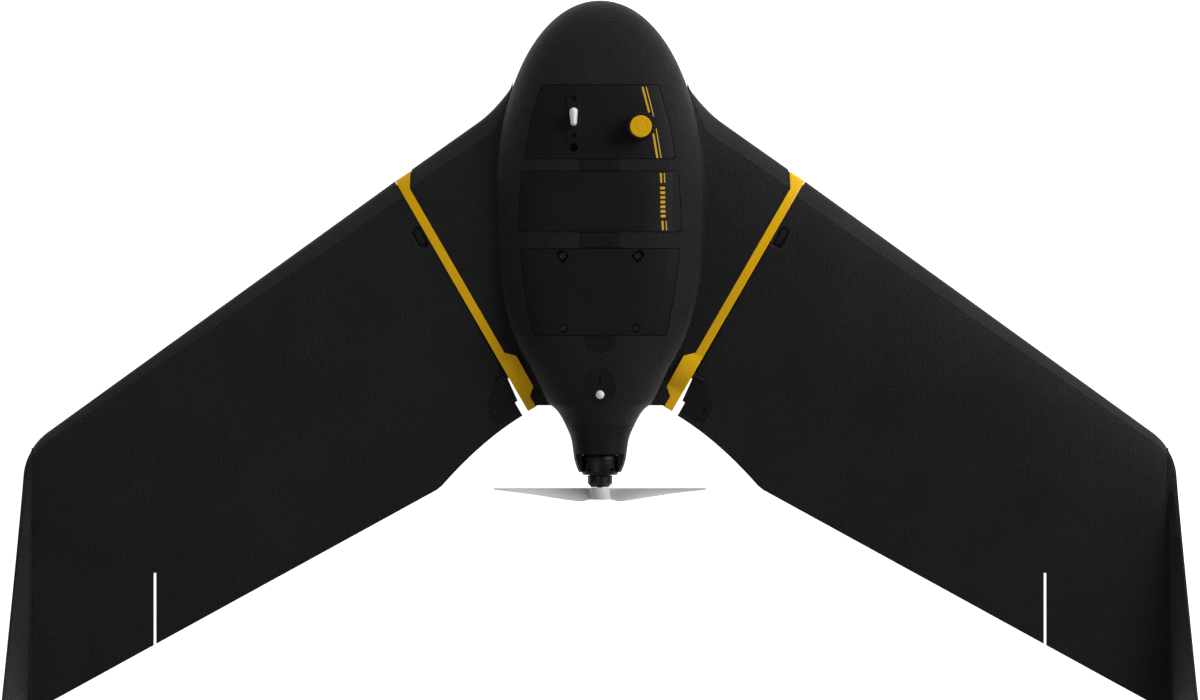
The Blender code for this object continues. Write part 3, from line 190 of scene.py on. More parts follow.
def object_from(bm, name):
    """One object from a bmesh in millimetres."""
    bmesh.ops.remove_doubles(bm, verts=bm.verts, dist=0.002)
    bmesh.ops.dissolve_degenerate(bm, edges=bm.edges, dist=0.001)
    bmesh.ops.recalc_face_normals(bm, faces=bm.faces)
    bmesh.ops.scale(bm, vec=(MM, MM, MM), verts=bm.verts)
    mesh = bpy.data.meshes.new(name)
    bm.to_mesh(mesh)
    bm.free()
    obj = bpy.data.objects.new(name, mesh)
    bpy.context.scene.collection.objects.link(obj)
    return obj


def cutter(obj):
    """Marks a helper that only cuts, to be removed once its cuts are baked."""
    obj.hide_render = True
    CUTTERS.append(obj)
    return obj


def bake(obj):
    """Applies the object's modifiers, so nothing depends on a helper later."""
    bpy.context.view_layer.update()
    graph = bpy.context.evaluated_depsgraph_get()
    mesh = bpy.data.meshes.new_from_object(obj.evaluated_get(graph))
    obj.modifiers.clear()
    obj.data = mesh
    return obj


def cut(obj, others, operation="DIFFERENCE"):
    for other in others:
        modifier = obj.modifiers.new(other.name, "BOOLEAN")
        modifier.operation = operation
        modifier.object = cutter(other)
    return bake(obj)


def cut_all(obj, others):
    """Cuts with many helpers in one pass, which is faster on a fine mesh."""
    group = bpy.data.collections.new(obj.name + "_cuts")
    for other in others:
        group.objects.link(cutter(other))
    modifier = obj.modifiers.new("cuts", "BOOLEAN")
    modifier.operation = "DIFFERENCE"
    modifier.operand_type = "COLLECTION"
    modifier.collection = group
    bake(obj)
    bpy.data.collections.remove(group)
    return obj


def bevel(obj, width, segments=2, angle=40):
    modifier = obj.modifiers.new("bevel", "BEVEL")
    modifier.width = width * MM
    modifier.segments = segments
    modifier.limit_method = "ANGLE"
    modifier.angle_limit = math.radians(angle)
    return bake(obj)


def finished(obj, material, body, nodes=(), angle=35):
    """Shades a piece, gives it its material, sets the body it rides on, and hides the CAD nodes it stands
    for.
    """
    obj.data.validate()
    obj.data.materials.clear()
    obj.data.materials.append(material)
    obj.data.shade_smooth()
    obj.data.set_sharp_from_angle(angle=math.radians(angle))
    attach(obj, body)
    if nodes:
        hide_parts(*nodes)
    return obj


def slab(name, top, bottom):
    """A closed body between two grids of points with the same rows and columns."""
    rows, columns = len(top), len(top[0])
    bm = bmesh.new()
    upper = [[bm.verts.new(point) for point in row] for row in top]
    lower = [[bm.verts.new(point) for point in row] for row in bottom]
    for i in range(rows - 1):
        for j in range(columns - 1):
            bm.faces.new((upper[i][j], upper[i + 1][j], upper[i + 1][j + 1], upper[i][j + 1]))
            bm.faces.new((lower[i][j], lower[i][j + 1], lower[i + 1][j + 1], lower[i + 1][j]))
    for i in range(rows - 1):
        for j in (0, columns - 1):
            bm.faces.new((upper[i][j], lower[i][j], lower[i + 1][j], upper[i + 1][j]))
    for j in range(columns - 1):
        for i in (0, rows - 1):
            bm.faces.new((upper[i][j], upper[i][j + 1], lower[i][j + 1], lower[i][j]))
    return object_from(bm, name)


def loft(name, rings):
    """A closed body through rings with the same number of points, capped at both ends."""
    bm = bmesh.new()
    loops = [[bm.verts.new(point) for point in ring] for ring in rings]
    for first, second in zip(loops, loops[1:]):
        count = len(first)
        for k in range(count):
            after = (k + 1) % count
            bm.faces.new((first[k], first[after], second[after], second[k]))
    bm.faces.new(loops[0])
    bm.faces.new(loops[-1])
    return object_from(bm, name)


def prism(name, outline, low, high):
    bm = bmesh.new()
    face = bm.faces.new([bm.verts.new((x, y, low)) for x, y in outline])
    made = bmesh.ops.extrude_face_region(bm, geom=[face])
    risen = [v for v in made["geom"] if isinstance(v, bmesh.types.BMVert)]
    bmesh.ops.translate(bm, vec=(0, 0, high - low), verts=risen)
    return object_from(bm, name)


def box(name, centre, size, turn=0.0):
    bm = bmesh.new()
    bmesh.ops.create_cube(bm, size=1.0)
    bmesh.ops.scale(bm, vec=size, verts=bm.verts)
    bmesh.ops.rotate(bm, matrix=Matrix.Rotation(turn, 3, "Z"), verts=bm.verts)
    bmesh.ops.translate(bm, vec=centre, verts=bm.verts)
    return object_from(bm, name)


def spar_rod(name, inner, outer, radius, side):
    start, end = span_point(SPAR_CHORD, inner, SPAR_Z, side), span_point(SPAR_CHORD, outer, SPAR_Z, side)
    return rod(name, start, end, radius)


def hinge_rod(name, inner, outer, radius, side):
    return rod(name, hinge_point(inner, 0, HINGE_Z, side), hinge_point(outer, 0, HINGE_Z, side), radius)


def rod(name, start, end, radius, sides=32, end_radius=None):
    start, end = Vector(start), Vector(end)
    bm = bmesh.new()
    bmesh.ops.create_cone(
        bm,
        cap_ends=True,
        segments=sides,
        radius1=radius,
        radius2=radius if end_radius is None else end_radius,
        depth=(end - start).length,
    )
    turn = (end - start).to_track_quat("Z", "Y").to_matrix()
    bmesh.ops.rotate(bm, matrix=turn, verts=bm.verts)
    bmesh.ops.translate(bm, vec=(start + end) / 2, verts=bm.verts)
    return object_from(bm, name)


def turned(name, profile, centre=(0.0, 0.0, MOTOR_Z), axis="Y", sides=80):
    """A body turned from a closed profile of (radius, height along the axis) points."""
    bm = bmesh.new()
    loops = []
    for k in range(sides):
        angle = 2 * math.pi * k / sides
        c, s = math.cos(angle), math.sin(angle)
        ring = []
        for r, h in profile:
            offset = (r * c, h, r * s) if axis == "Y" else (r * c, r * s, h)
            ring.append(bm.verts.new(Vector(centre) + Vector(offset)))
        loops.append(ring)
    count = len(profile)
    for k, ring in enumerate(loops):
        following = loops[(k + 1) % sides]
        for j in range(count):
            after = (j + 1) % count
            bm.faces.new((ring[j], ring[after], following[after], following[j]))
    return object_from(bm, name)


def round_patch(name, centre, half_width, half_length, high, low, rings=6, sides=64, start=0.0, sweep=360.0):
    """An oval, or a sector of one, that follows the body between two height functions."""
    bm = bmesh.new()
    layers = []
    for height in (high, low):
        layer = []
        for i in range(rings + 1):
            row = []
            for k in range(sides + 1):
                angle = math.radians(start + sweep * k / sides)
                x = centre[0] + half_width * i / rings * math.cos(angle)
                y = centre[1] + half_length * i / rings * math.sin(angle)
                row.append(bm.verts.new((x, y, height(x, y))))
            layer.append(row)
        layers.append(layer)
    over, under = layers
    for layer in layers:
        for i in range(rings):
            for k in range(sides):
                bm.faces.new((layer[i][k], layer[i + 1][k], layer[i + 1][k + 1], layer[i][k + 1]))
    for k in range(sides):
        bm.faces.new((over[rings][k], over[rings][k + 1], under[rings][k + 1], under[rings][k]))
    if sweep < 360:
        for k in (0, sides):
            for i in range(rings):
                bm.faces.new((over[i][k], under[i][k], under[i + 1][k], over[i + 1][k]))
    return object_from(bm, name)


def copy_of(node, name, width=0.0, segments=2, angle=40):
    """A separate mesh with a CAD node's shape, whose edges can be rounded."""
    bm = bmesh.new()
    bm.from_mesh(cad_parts[node].data)
    bmesh.ops.scale(bm, vec=(1 / MM, 1 / MM, 1 / MM), verts=bm.verts)
    bmesh.ops.remove_doubles(bm, verts=bm.verts, dist=0.002)
    bmesh.ops.dissolve_limit(bm, angle_limit=math.radians(0.6), verts=bm.verts, edges=bm.edges)
    obj = object_from(bm, name)
    if width:
        bevel(obj, width, segments, angle)
    return obj


# ---------------------------------------------------------------- the outer surface, as formulas


def station(y, column):
    """A smooth value between the stations behind the widest point."""
    table = STATIONS[::-1]
    ys = [row[0] for row in table]
    values = [row[column] for row in table]
    y = min(max(y, ys[0]), ys[-1])
    i = min(max(int(np.searchsorted(ys, y)) - 1, 0), len(ys) - 2)

    def slope(k):
        low, high = max(k - 1, 0), min(k + 1, len(ys) - 1)
        return (values[high] - values[low]) / (ys[high] - ys[low])

    width = ys[i + 1] - ys[i]
    t = (y - ys[i]) / width
    return (
        (2 * t**3 - 3 * t**2 + 1) * values[i]
        + (t**3 - 2 * t**2 + t) * width * slope(i)
        + (3 * t**2 - 2 * t**3) * values[i + 1]
        + (t**3 - t**2) * width * slope(i + 1)
    )


def nose_share(y, start, power):
    t = min(max((y - start) / (NOSE_Y - start), 0.0), 1.0)
    return (1 - t**power) ** (1 / power)


def pod_half_width(y):
    if y >= WIDEST_Y:
        return POD_HALF_WIDTH * nose_share(y, WIDEST_Y, 2.05)
    return station(y, 1)


def crown(y):
    if y >= WIDEST_Y:
        return WATERLINE_Z + (CROWN_Z - WATERLINE_Z) * nose_share(y, WIDEST_Y, 2.2)
    return station(y, 3)


def keel(y):
    if y >= WIDEST_Y:
        return WATERLINE_Z - (WATERLINE_Z - KEEL_Z) * nose_share(y, 225.0, 2.4)
    return station(y, 2)


def waterline(y):
    return WATERLINE_Z if y >= WIDEST_Y else station(y, 4)


def roundness(y):
    """The section's superellipse power: boxy under the covers, round at the tail."""
    return 2.0 + 0.7 * min(max((y - NECK_REAR_Y) / 60.0, 0.0), 1.0)


def pod_height(x, y, end):
    """The pod's upper or lower surface, or a steep line away from it outside its width."""
    level, width, power = waterline(y), pod_half_width(y), roundness(y)
    if abs(x) >= width:
        return level - math.copysign(3.0, end - level) * (abs(x) - width)
    return level + (end - level) * (1 - (abs(x) / width) ** power) ** (1 / power)


def leading_edge(x):
    """The leading edge's y at distance x from the centre line, with its strake and tip corner."""
    x = max(x, STRAKE_START_X)
    slope = LEADING_SLOPE if x > ROOT_X else STRAKE_SLOPE
    y = ROOT_Y - slope * (x - ROOT_X)
    if x < STRAKE_X:
        y += STRAKE_RISE * ((STRAKE_X - x) / STRAKE_REACH) ** 2
    angle = math.atan(LEADING_SLOPE)
    turn = (math.pi / 2 - angle) / 2
    corner_y = ROOT_Y - LEADING_SLOPE * (TIP_OUTER_X - ROOT_X)
    arc_centre = (TIP_OUTER_X - TIP_RADIUS, corner_y - TIP_RADIUS * math.tan(turn))
    arc_start = arc_centre[0] + TIP_RADIUS * math.sin(angle)
    if x > arc_start:
        reach = min(x - arc_centre[0], TIP_RADIUS)
        y = arc_centre[1] + math.sqrt(TIP_RADIUS**2 - reach**2)
    return y


def trailing_edge(x):
    return TRAILING_Y - TRAILING_SLOPE * (x - TRAILING_X)


def wing_height(x, y, side):
    """The wing's upper (side 1) or lower (side -1) surface, and far inside it ahead of the edge."""
    x = abs(x)
    front = leading_edge(x)
    chord = front - trailing_edge(x)
    f = (front - y) / chord
    if f <= 0:
        return WING_Z - side * 3.0 * (y - front)
    f = min(f, 1.0)
    half = 5 * WING_THICKNESS * (
        0.2969 * math.sqrt(f) - 0.1260 * f - 0.3516 * f**2 + 0.2843 * f**3 - 0.1036 * f**4
    )
    camber = 0.156 * f * (1 - f) * (0.85 - f)
    return WING_Z + chord * (camber + side * (half + 0.0035 * f))


def wing_top(x, y):
    return wing_height(x, y, 1)


def wing_bottom(x, y):
    return wing_height(x, y, -1)


def smooth_max(a, b, base):
    reach = min(FILLET, 0.8 * max(max(a, b) - base, 1e-6))
    share = max(reach - abs(a - b), 0.0) / reach
    return max(a, b) + share * share * reach / 4


def body_top(x, y):
    return smooth_max(pod_height(x, y, crown(y)), wing_top(x, y), WATERLINE_Z)


def body_bottom(x, y):
    low = -smooth_max(-pod_height(x, y, keel(y)), -wing_bottom(x, y), -WATERLINE_Z)
    return max(low, BELLY_FLAT_Z)


def root_point(chord, out=0.0, side=1):
    """A plan point behind the leading edge along the root, and out along the spar direction."""
    point = Vector((ROOT_X, ROOT_Y)) + ROOT_LINE * chord + ALONG * out
    return Vector((side * point.x, point.y))


def rib_inboard(chord):
    """How far inboard of the root face the rib reaches."""
    return float(np.interp(chord, [c for c, _ in RIB_OUTLINE], [d for _, d in RIB_OUTLINE]))


def guard_inner(x):
    """The rear edge of the strake's guard, in plan."""
    return STRAKE_START_Y - (x - 86.4) * 2.41 if x < 102.5 else 225.2 - (x - 102.5) * 0.668


def body_edge_points():
    """The body's plan edge from the strake to the rear, as (y, x) pairs with rising y."""
    normal = Vector((-ROOT_LINE.y, ROOT_LINE.x))
    points = [(STRAKE_START_Y, 86.0), (225.2, 102.5 - GAP), (guard_inner(183.0), 183.0 - GAP)]
    for chord, inboard in RIB_OUTLINE[1:]:
        point = Vector((ROOT_X, ROOT_Y)) + ROOT_LINE * chord - normal * (inboard + GAP)
        points.append((point.y, point.x))
    return points[::-1]


EDGE = body_edge_points()


def body_edge(y):
    """Half the body's width in plan, without the guards and ribs."""
    if y >= STRAKE_START_Y:
        return pod_half_width(y)
    return float(np.interp(y, [p[0] for p in EDGE], [p[1] for p in EDGE]))


def below(depth):
    """The body's upper surface, lowered by a depth."""
    return lambda x, y: body_top(x, y) - depth


def cover_half_width(cover, y):
    """Half a cover's width at y, with its four corners rounded."""
    front, rear, widths = cover
    half = float(np.interp((front - y) / (front - rear), np.linspace(0, 1, len(widths)), widths))
    depth = max(min(front - y, y - rear), 0.0)
    if depth < COVER_CORNER:
        half -= COVER_CORNER - math.sqrt(COVER_CORNER**2 - (COVER_CORNER - depth) ** 2)
    return half


def cover_grid(cover, height, near_ends, middle_rows, columns, grow=0.0):
    """Points over a cover's outline, at the heights that height(x, y) gives."""
    front, rear, _ = cover
    ys = [front - depth for depth in near_ends]
    ys += list(np.linspace(front - 2 * COVER_CORNER, rear + 2 * COVER_CORNER, middle_rows))
    ys += [rear + depth for depth in reversed(near_ends)]
    grid = []
    for y in ys:
        half = cover_half_width(cover, y) + grow
        moved = y + grow * (2 * (y - rear) / (front - rear) - 1)
        grid.append([(half * s, moved, height(half * s, moved)) for s in np.linspace(-1, 1, columns)])
    return grid


def kite(x, y, radius, reach, steps=13):
    """The outline of a screw's recess: a round that narrows to a point behind it."""
    angles = [math.radians(-30 + 240 * k / (steps - 1)) for k in range(steps)]
    return [(x + radius * math.cos(a), y + radius * math.sin(a)) for a in angles] + [(x, y - reach)]

# ---------------------------------------------------------------- materials


class Nodes:
    """A small builder for one node material."""

    def __init__(self, name):
        self.material = bpy.data.materials.new(name)
        self.material.use_nodes = True
        self.tree = self.material.node_tree
        self.shader = self.tree.nodes["Principled BSDF"]
        self.coordinates = self.add("ShaderNodeTexCoord").outputs["Object"]

    def add(self, kind, inputs=None, **settings):
        node = self.tree.nodes.new(kind)
        for key, value in settings.items():
            setattr(node, key, value)
        for key, value in (inputs or {}).items():
            if isinstance(value, bpy.types.NodeSocket):
                self.tree.links.new(value, node.inputs[key])
            else:
                node.inputs[key].default_value = value
        return node

    def set(self, **values):
        for key, value in values.items():
            self.shader.inputs[key.replace("_", " ")].default_value = value

    def link(self, socket, name):
        self.tree.links.new(socket, self.shader.inputs[name])

    def noise(self, scale, detail=3.0, roughness=0.5):
        made = self.add(
            "ShaderNodeTexNoise",
            {"Vector": self.coordinates, "Scale": scale, "Detail": detail, "Roughness": roughness},
        )
        return made.outputs["Fac"]

    def cells(self, scale, feature="F1", randomness=0.8):
        made = self.add(
            "ShaderNodeTexVoronoi",
            {"Vector": self.coordinates, "Scale": scale, "Randomness": randomness},
            feature=feature,
        )
        return made.outputs["Distance"]

    def ramp(self, value, stops):
        made = self.add("ShaderNodeValToRGB", {"Fac": value})
        elements = made.color_ramp.elements
        while len(elements) < len(stops):
            elements.new(0.5)
        for element, (position, colour) in zip(elements, stops):
            element.position = position
            element.color = (*colour, 1.0) if len(colour) == 3 else colour
        return made.outputs["Color"]

    def span(self, value, low, high):
        """Maps 0 to 1 onto low to high."""
        made = self.add("ShaderNodeMapRange", {"Value": value, "To Min": low, "To Max": high})
        return made.outputs["Result"]

    def bump(self, height, strength, distance, under=None):
        inputs = {"Height": height, "Strength": strength, "Distance": distance}
        if under is not None:
            inputs["Normal"] = under
        return self.add("ShaderNodeBump", inputs).outputs["Normal"]


def grey(value):
    return (value, value, value)


def foam_material(name, pitch=0.0020, strength=1.0, dark=0.0108, light=0.0156):
    """Moulded bead foam: small cells with soft hollows between them, darkened there with painted shade, a
    fine grain, and slow changes of tone.
    """
    made = Nodes(name)
    cells = made.cells(1 / pitch, randomness=0.75)
    tone = made.noise(14.0, 4.0)
    colour = made.ramp(tone, [(0.3, grey(dark)), (0.75, grey(light))])
    # painted shade: the colour is darkened between the cells, where the hollows would be in shade
    painted_valley_shade = made.ramp(cells, [(0.25, grey(1.0)), (0.75, grey(0.72))])
    mixed = made.add(
        "ShaderNodeMix", {"Factor": 0.8, 6: colour, 7: painted_valley_shade}, data_type="RGBA", blend_type="MULTIPLY"
    )
    made.link(mixed.outputs[2], "Base Color")
    made.link(made.span(made.noise(60.0, 5.0), 0.62, 0.8), "Roughness")
    grain = made.bump(made.noise(2600.0, 2.0), 0.25, 0.00006)
    domes = made.ramp(cells, [(0.0, grey(1.0)), (0.45, grey(0.8)), (0.85, grey(0.0))])
    made.link(made.bump(domes, strength, 0.0005, grain), "Normal")
    made.set(Specular_IOR_Level=0.14, Sheen_Weight=0.12, Sheen_Roughness=0.4)
    return made.material


def plastic_material(name, colour, roughness, spread=0.06, grain=0.15, coat=0.0, specular=0.5, mottle=0.12):
    """Moulded plastic with a faint spark-eroded grain, and tone that isn't quite even."""
    made = Nodes(name)
    low = tuple(c * (1 - mottle) for c in colour)
    high = tuple(c * (1 + mottle) for c in colour)
    made.link(made.ramp(made.noise(22.0, 4.0), [(0.3, low), (0.7, high)]), "Base Color")
    made.link(made.span(made.noise(90.0, 4.0), roughness - spread, roughness + spread), "Roughness")
    made.link(made.bump(made.noise(3800.0, 2.0), grain, 0.00004), "Normal")
    made.set(Specular_IOR_Level=specular, Coat_Weight=coat, Coat_Roughness=0.2)
    return made.material


def metal_material(name, colour, roughness, stretch=(1.0, 1.0, 1.0)):
    """Turned or drawn metal, with fine marks along one direction."""
    made = Nodes(name)
    mapping = made.add("ShaderNodeMapping", {"Vector": made.coordinates, "Scale": stretch})
    marks = made.add("ShaderNodeTexNoise", {"Vector": mapping.outputs[0], "Scale": 900.0, "Detail": 3.0})
    low = tuple(c * 0.85 for c in colour)
    made.link(made.ramp(marks.outputs["Fac"], [(0.3, low), (0.7, colour)]), "Base Color")
    made.link(made.span(marks.outputs["Fac"], roughness - 0.06, roughness + 0.08), "Roughness")
    made.link(made.bump(marks.outputs["Fac"], 0.2, 0.00003), "Normal")
    made.set(Metallic=1.0)
    return made.material


def weave_material(name):
    """Pultruded carbon: fine fibres along the tube under a clear resin."""
    made = Nodes(name)
    inputs = {"Vector": made.coordinates, "Scale": 700.0, "Distortion": 1.5}
    wave = made.add("ShaderNodeTexWave", inputs, wave_type="BANDS")
    made.link(made.ramp(wave.outputs["Fac"], [(0.2, grey(0.006)), (0.8, grey(0.03))]), "Base Color")
    made.link(made.bump(wave.outputs["Fac"], 0.15, 0.00004), "Normal")
    made.set(Roughness=0.3, Coat_Weight=0.4, Coat_Roughness=0.1)
    return made.material


def board_material(name):
    """A populated circuit board: green lacquer with dark blocks and pale pads."""
    made = Nodes(name)
    cells = made.cells(160.0, "F1", 0.6)
    lacquer = [(0.34, (0.01, 0.09, 0.03)), (0.9, (0.015, 0.12, 0.04))]
    made.link(made.ramp(cells, [(0.0, grey(0.01)), (0.3, grey(0.015)), *lacquer]), "Base Color")
    made.link(made.bump(cells, 0.6, 0.0004), "Normal")
    made.set(Roughness=0.4)
    return made.material


def lens_material(name):
    """Coated glass: near black, with a faint violet cast."""
    made = Nodes(name)
    tints = [(0.3, (0.006, 0.006, 0.012)), (0.7, (0.012, 0.01, 0.02))]
    made.link(made.ramp(made.noise(30.0), tints), "Base Color")
    made.set(Roughness=0.04, Coat_Weight=1.0, Coat_Roughness=0.02)
    return made.material


def make_materials():
    return {
        "foam": foam_material("bead_foam"),
        "guard": foam_material("guard_foam", pitch=0.0012, strength=0.4, dark=0.02, light=0.028),
        "shell": plastic_material("satin_black", grey(0.0084), 0.5, specular=0.1),
        "gloss": plastic_material("label_black", grey(0.0088), 0.42, specular=0.14),
        # painted shade: a near-black material for the sheets and plugs put where holes and recesses lie in
        # shade
        "painted_shade": plastic_material("painted_shade_black", grey(0.002), 0.8, specular=0.1),
        "yellow": plastic_material("golden_yellow", (0.80, 0.44, 0.001), 0.4, specular=0.16, mottle=0.05),
        "ink": plastic_material("yellow_ink", (0.66, 0.36, 0.006), 0.5, specular=0.3, mottle=0.04),
        "white": plastic_material("milky_white", grey(0.78), 0.3, mottle=0.03),
        "grey": plastic_material("grey_nylon", (0.6, 0.6, 0.595), 0.42, mottle=0.08),
        "wrap": plastic_material("battery_wrap", (0.02, 0.024, 0.04), 0.35, coat=0.3),
        "metal": metal_material("turned_metal", (0.62, 0.62, 0.63), 0.28),
        "dark_metal": metal_material("black_metal", grey(0.03), 0.36),
        "carbon": weave_material("carbon_tube"),
        "board": board_material("circuit_board"),
        "lens": lens_material("coated_lens"),
    }


MAT = make_materials()

# ---------------------------------------------------------------- body


def ease(count, power):
    return [(i / (count - 1)) ** power for i in range(count)]


def fine_rows():
    """Body rows from the nose to the tail, close together at the nose and at each corner of the plan."""
    nose = [NOSE_Y - (NOSE_Y - STRAKE_START_Y) * t for t in ease(30, 2.0)]
    corners = [y for y, _ in EDGE if BODY_REAR_Y < y < STRAKE_START_Y]
    even = [y for y in np.linspace(262.0, BODY_REAR_Y + 1.0, 76) if min(abs(y - c) for c in corners) > 1.2]
    return nose + sorted(corners + even, reverse=True) + [BODY_REAR_Y]


def fine_columns(y):
    edge = body_edge(y)
    pod = min(pod_half_width(y), edge)
    inner = [pod * math.sin(math.radians(a)) for a in np.linspace(0, 85, 30)]
    steps = (0.02, 0.06, 0.11, 0.17, 0.24, 0.32, 0.41, 0.52, 0.64, 0.76, 0.88, 1.0)
    outer = [pod + (edge - pod) * t for t in steps]
    right = inner + outer
    return [-x for x in right[:0:-1]] + right


def upper_height(x, y):
    return max(body_top(x, y), WATERLINE_Z + GAP / 2)


def lower_height(x, y):
    return min(body_bottom(x, y), WATERLINE_Z - GAP / 2)


def fine_cover(cover, height, grow=0.0, columns=49):
    return cover_grid(cover, height, (0.0, 0.1, 0.4, 0.9, 1.6, 2.4, 3.4, COVER_CORNER), 22, columns, grow)


def cover_solid(name, cover):
    return slab(name, fine_cover(cover, body_top), fine_cover(cover, below(COVER_THICKNESS)))


def cover_seat(name, cover):
    bottom = fine_cover(cover, below(COVER_THICKNESS + GAP), grow=SEAT_GROW, columns=25)
    top = [[(x, y, CROWN_Z + 20) for x, y, _ in row] for row in bottom]
    return slab(name, top, bottom)


def plan_strip(front, rear, half, height, rows=9, columns=17):
    ys = np.linspace(front, rear, rows)
    return [[(x, y, height(x, y)) for x in np.linspace(-half, half, columns)] for y in ys]


FINGER_PLATES = {
    "front": (FRONT_COVER[1] - 1.0, BATTERY_HATCH[0] + 1.0),
    "rear": (BATTERY_HATCH[1] - 1.0, SERVICE_COVER[0] + 1.0),
}


def finger_plate(word):
    """A smooth insert with a shallow half round notch that a finger reaches under."""
    front, rear = FINGER_PLATES[word]
    high = plan_strip(front, rear, FINGER_PLATE_HALF, body_top)
    low = plan_strip(front, rear, FINGER_PLATE_HALF, below(FINGER_PLATE_THICKNESS))
    plate = slab(f"finger_plate_{word}_fine", high, low)
    level = body_top(0, rear)
    notch_size = (NOTCH_RADIUS, NOTCH_RADIUS)
    notch = round_patch(f"notch_{word}", (0, rear), *notch_size, lambda x, y: level + 5, below(NOTCH_DEPTH))
    cut(plate, [notch])
    bevel(plate, 0.25)
    finished(plate, MAT["shell"], "fuselage", [f"finger_plate_{word}"])


def plate_seat(word):
    front, rear = FINGER_PLATES[word]
    low = plan_strip(front + GAP, rear - GAP, FINGER_PLATE_HALF + GAP, below(FINGER_PLATE_THICKNESS + GAP))
    high = [[(x, y, CROWN_Z + 20) for x, y, _ in row] for row in low]
    return slab(f"plate_seat_{word}", high, low)


def bay_cutter(name, bay):
    half, front, rear, low = bay
    high = CROWN_Z + 10
    return box(name, (0.0, (front + rear) / 2, (low + high) / 2), (2 * half, front - rear, high - low))


BEACON_SIZE = (BEACON_HALF_WIDTH, BEACON_HALF_LENGTH)
HALF_SEAT = (0.0, SERVICE_COVER[1] - 1.2)
HALF_PLATE = (0.0, SERVICE_COVER[1] - 1.5)


def build_body_top():
    """The top foam shell with every seat and bay that its covers and pieces lie in."""
    rows = [[(x, y, upper_height(x, y)) for x in fine_columns(y)] for y in fine_rows()]
    flat = [[(x, y, WATERLINE_Z + GAP / 2) for x, y, _ in row] for row in rows]
    shell = slab("body_top_foam", rows, flat)
    seat_size = [size + GAP for size in BEACON_SIZE]
    cuts = [
        cover_seat("front_seat", FRONT_COVER),
        cover_seat("battery_seat", BATTERY_HATCH),
        cover_seat("service_seat", SERVICE_COVER),
        plate_seat("front"),
        plate_seat("rear"),
        bay_cutter("front_bay", FRONT_BAY),
        bay_cutter("battery_bay", BATTERY_BAY),
        bay_cutter("service_bay", SERVICE_BAY),
        round_patch("beacon_seat", (0, BEACON_Y), *seat_size, below(-20.0), below(2.3)),
        round_patch("half_seat", HALF_SEAT, 15.7, 16.0, below(-20.0), below(2.3), start=180.0, sweep=180.0),
        rod("beacon_well", (0, BEACON_LENS_Y, 88), (0, BEACON_LENS_Y, 110), 4.8),
    ]
    for side in (1, -1):
        cuts.append(spar_rod(f"sleeve_hole_{side}", -SPAR_INBOARD - 8.4, 20, SLEEVE_HOLE_RADIUS, side))
    cut_all(shell, cuts)
    finished(shell, MAT["foam"], "fuselage", ["upper_shell"], angle=30)


def build_body_bottom():
    """The bottom foam shell, with the openings for the camera and the ground sensor."""
    rows = [[(x, y, lower_height(x, y)) for x in fine_columns(y)] for y in fine_rows()]
    flat = [[(x, y, WATERLINE_Z - GAP / 2) for x, y, _ in row] for row in rows]
    shell = slab("body_bottom_foam", flat, rows)
    half, front, rear = CAMERA_BAY
    cut_all(
        shell,
        [
            box("camera_opening", (0, (front + rear) / 2, 20), (2 * half, front - rear, 80)),
            box("sensor_opening", (0, 206.5, 5), (25.0, 17.0, 22)),
        ],
    )
    finished(shell, MAT["foam"], "fuselage", ["lower_shell"], angle=30)


def band(name, points, width, height=0.12, depth=0.1, surface=body_top):
    """A thin strip along plan points, from a little below a surface to a little above it."""
    top, bottom = [], []
    for (x0, y0), (x1, y1) in zip(points, points[1:]):
        across = Vector((y1 - y0, x0 - x1)).normalized() * width / 2
        for t in np.linspace(0, 1, 9):
            x, y = x0 + (x1 - x0) * t, y0 + (y1 - y0) * t
            ends = [(x - across.x, y - across.y), (x + across.x, y + across.y)]
            top.append([(a, b, surface(a, b) + height) for a, b in ends])
            bottom.append([(a, b, surface(a, b) - depth) for a, b in ends])
    return slab(name, top, bottom)


def joined(name, objects):
    """One object from several that don't touch."""
    bm = bmesh.new()
    for obj in objects:
        bm.from_mesh(obj.data)
        bpy.data.objects.remove(obj)
    mesh = bpy.data.meshes.new(name)
    bm.to_mesh(mesh)
    bm.free()
    made = bpy.data.objects.new(name, mesh)
    bpy.context.scene.collection.objects.link(made)
    return made


def build_front_cover():
    cover = cover_solid("front_cover_fine", FRONT_COVER)
    z = body_top(AIRSPEED_X, BUZZER_Y)
    start, end = (AIRSPEED_X, BUZZER_Y, z - 8), (AIRSPEED_X, BUZZER_Y, z + 6)
    cut(cover, [rod("buzzer", start, end, BUZZER_RADIUS, 40)])
    bevel(cover, 0.45)
    finished(cover, MAT["shell"], "fuselage", ["front_cover"])
    # painted shade: a near-black plug under the buzzer hole stands in for the shade inside it
    hole = rod("buzzer_shade_plug", (AIRSPEED_X, BUZZER_Y, z - 8.5), (AIRSPEED_X, BUZZER_Y, z - 3.6), 5.0, 40)
    bevel(hole, 0.3)
    finished(hole, MAT["painted_shade"], "fuselage")
    stripes = [
        band("stripe_1", [(41.0, 268.0), (47.5, 243.4)], WIDE_LINE),
        band("stripe_2", [(51.4, 223.0), (55.4, 199.4)], WIDE_LINE),
        band("stripe_3", [(44.6, 268.0), (51.9, 239.3)], THIN_LINE),
        band("stripe_4", [(54.2, 227.9), (59.0, 199.4)], THIN_LINE),
    ]
    finished(joined("front_cover_stripes", stripes), MAT["ink"], "fuselage")


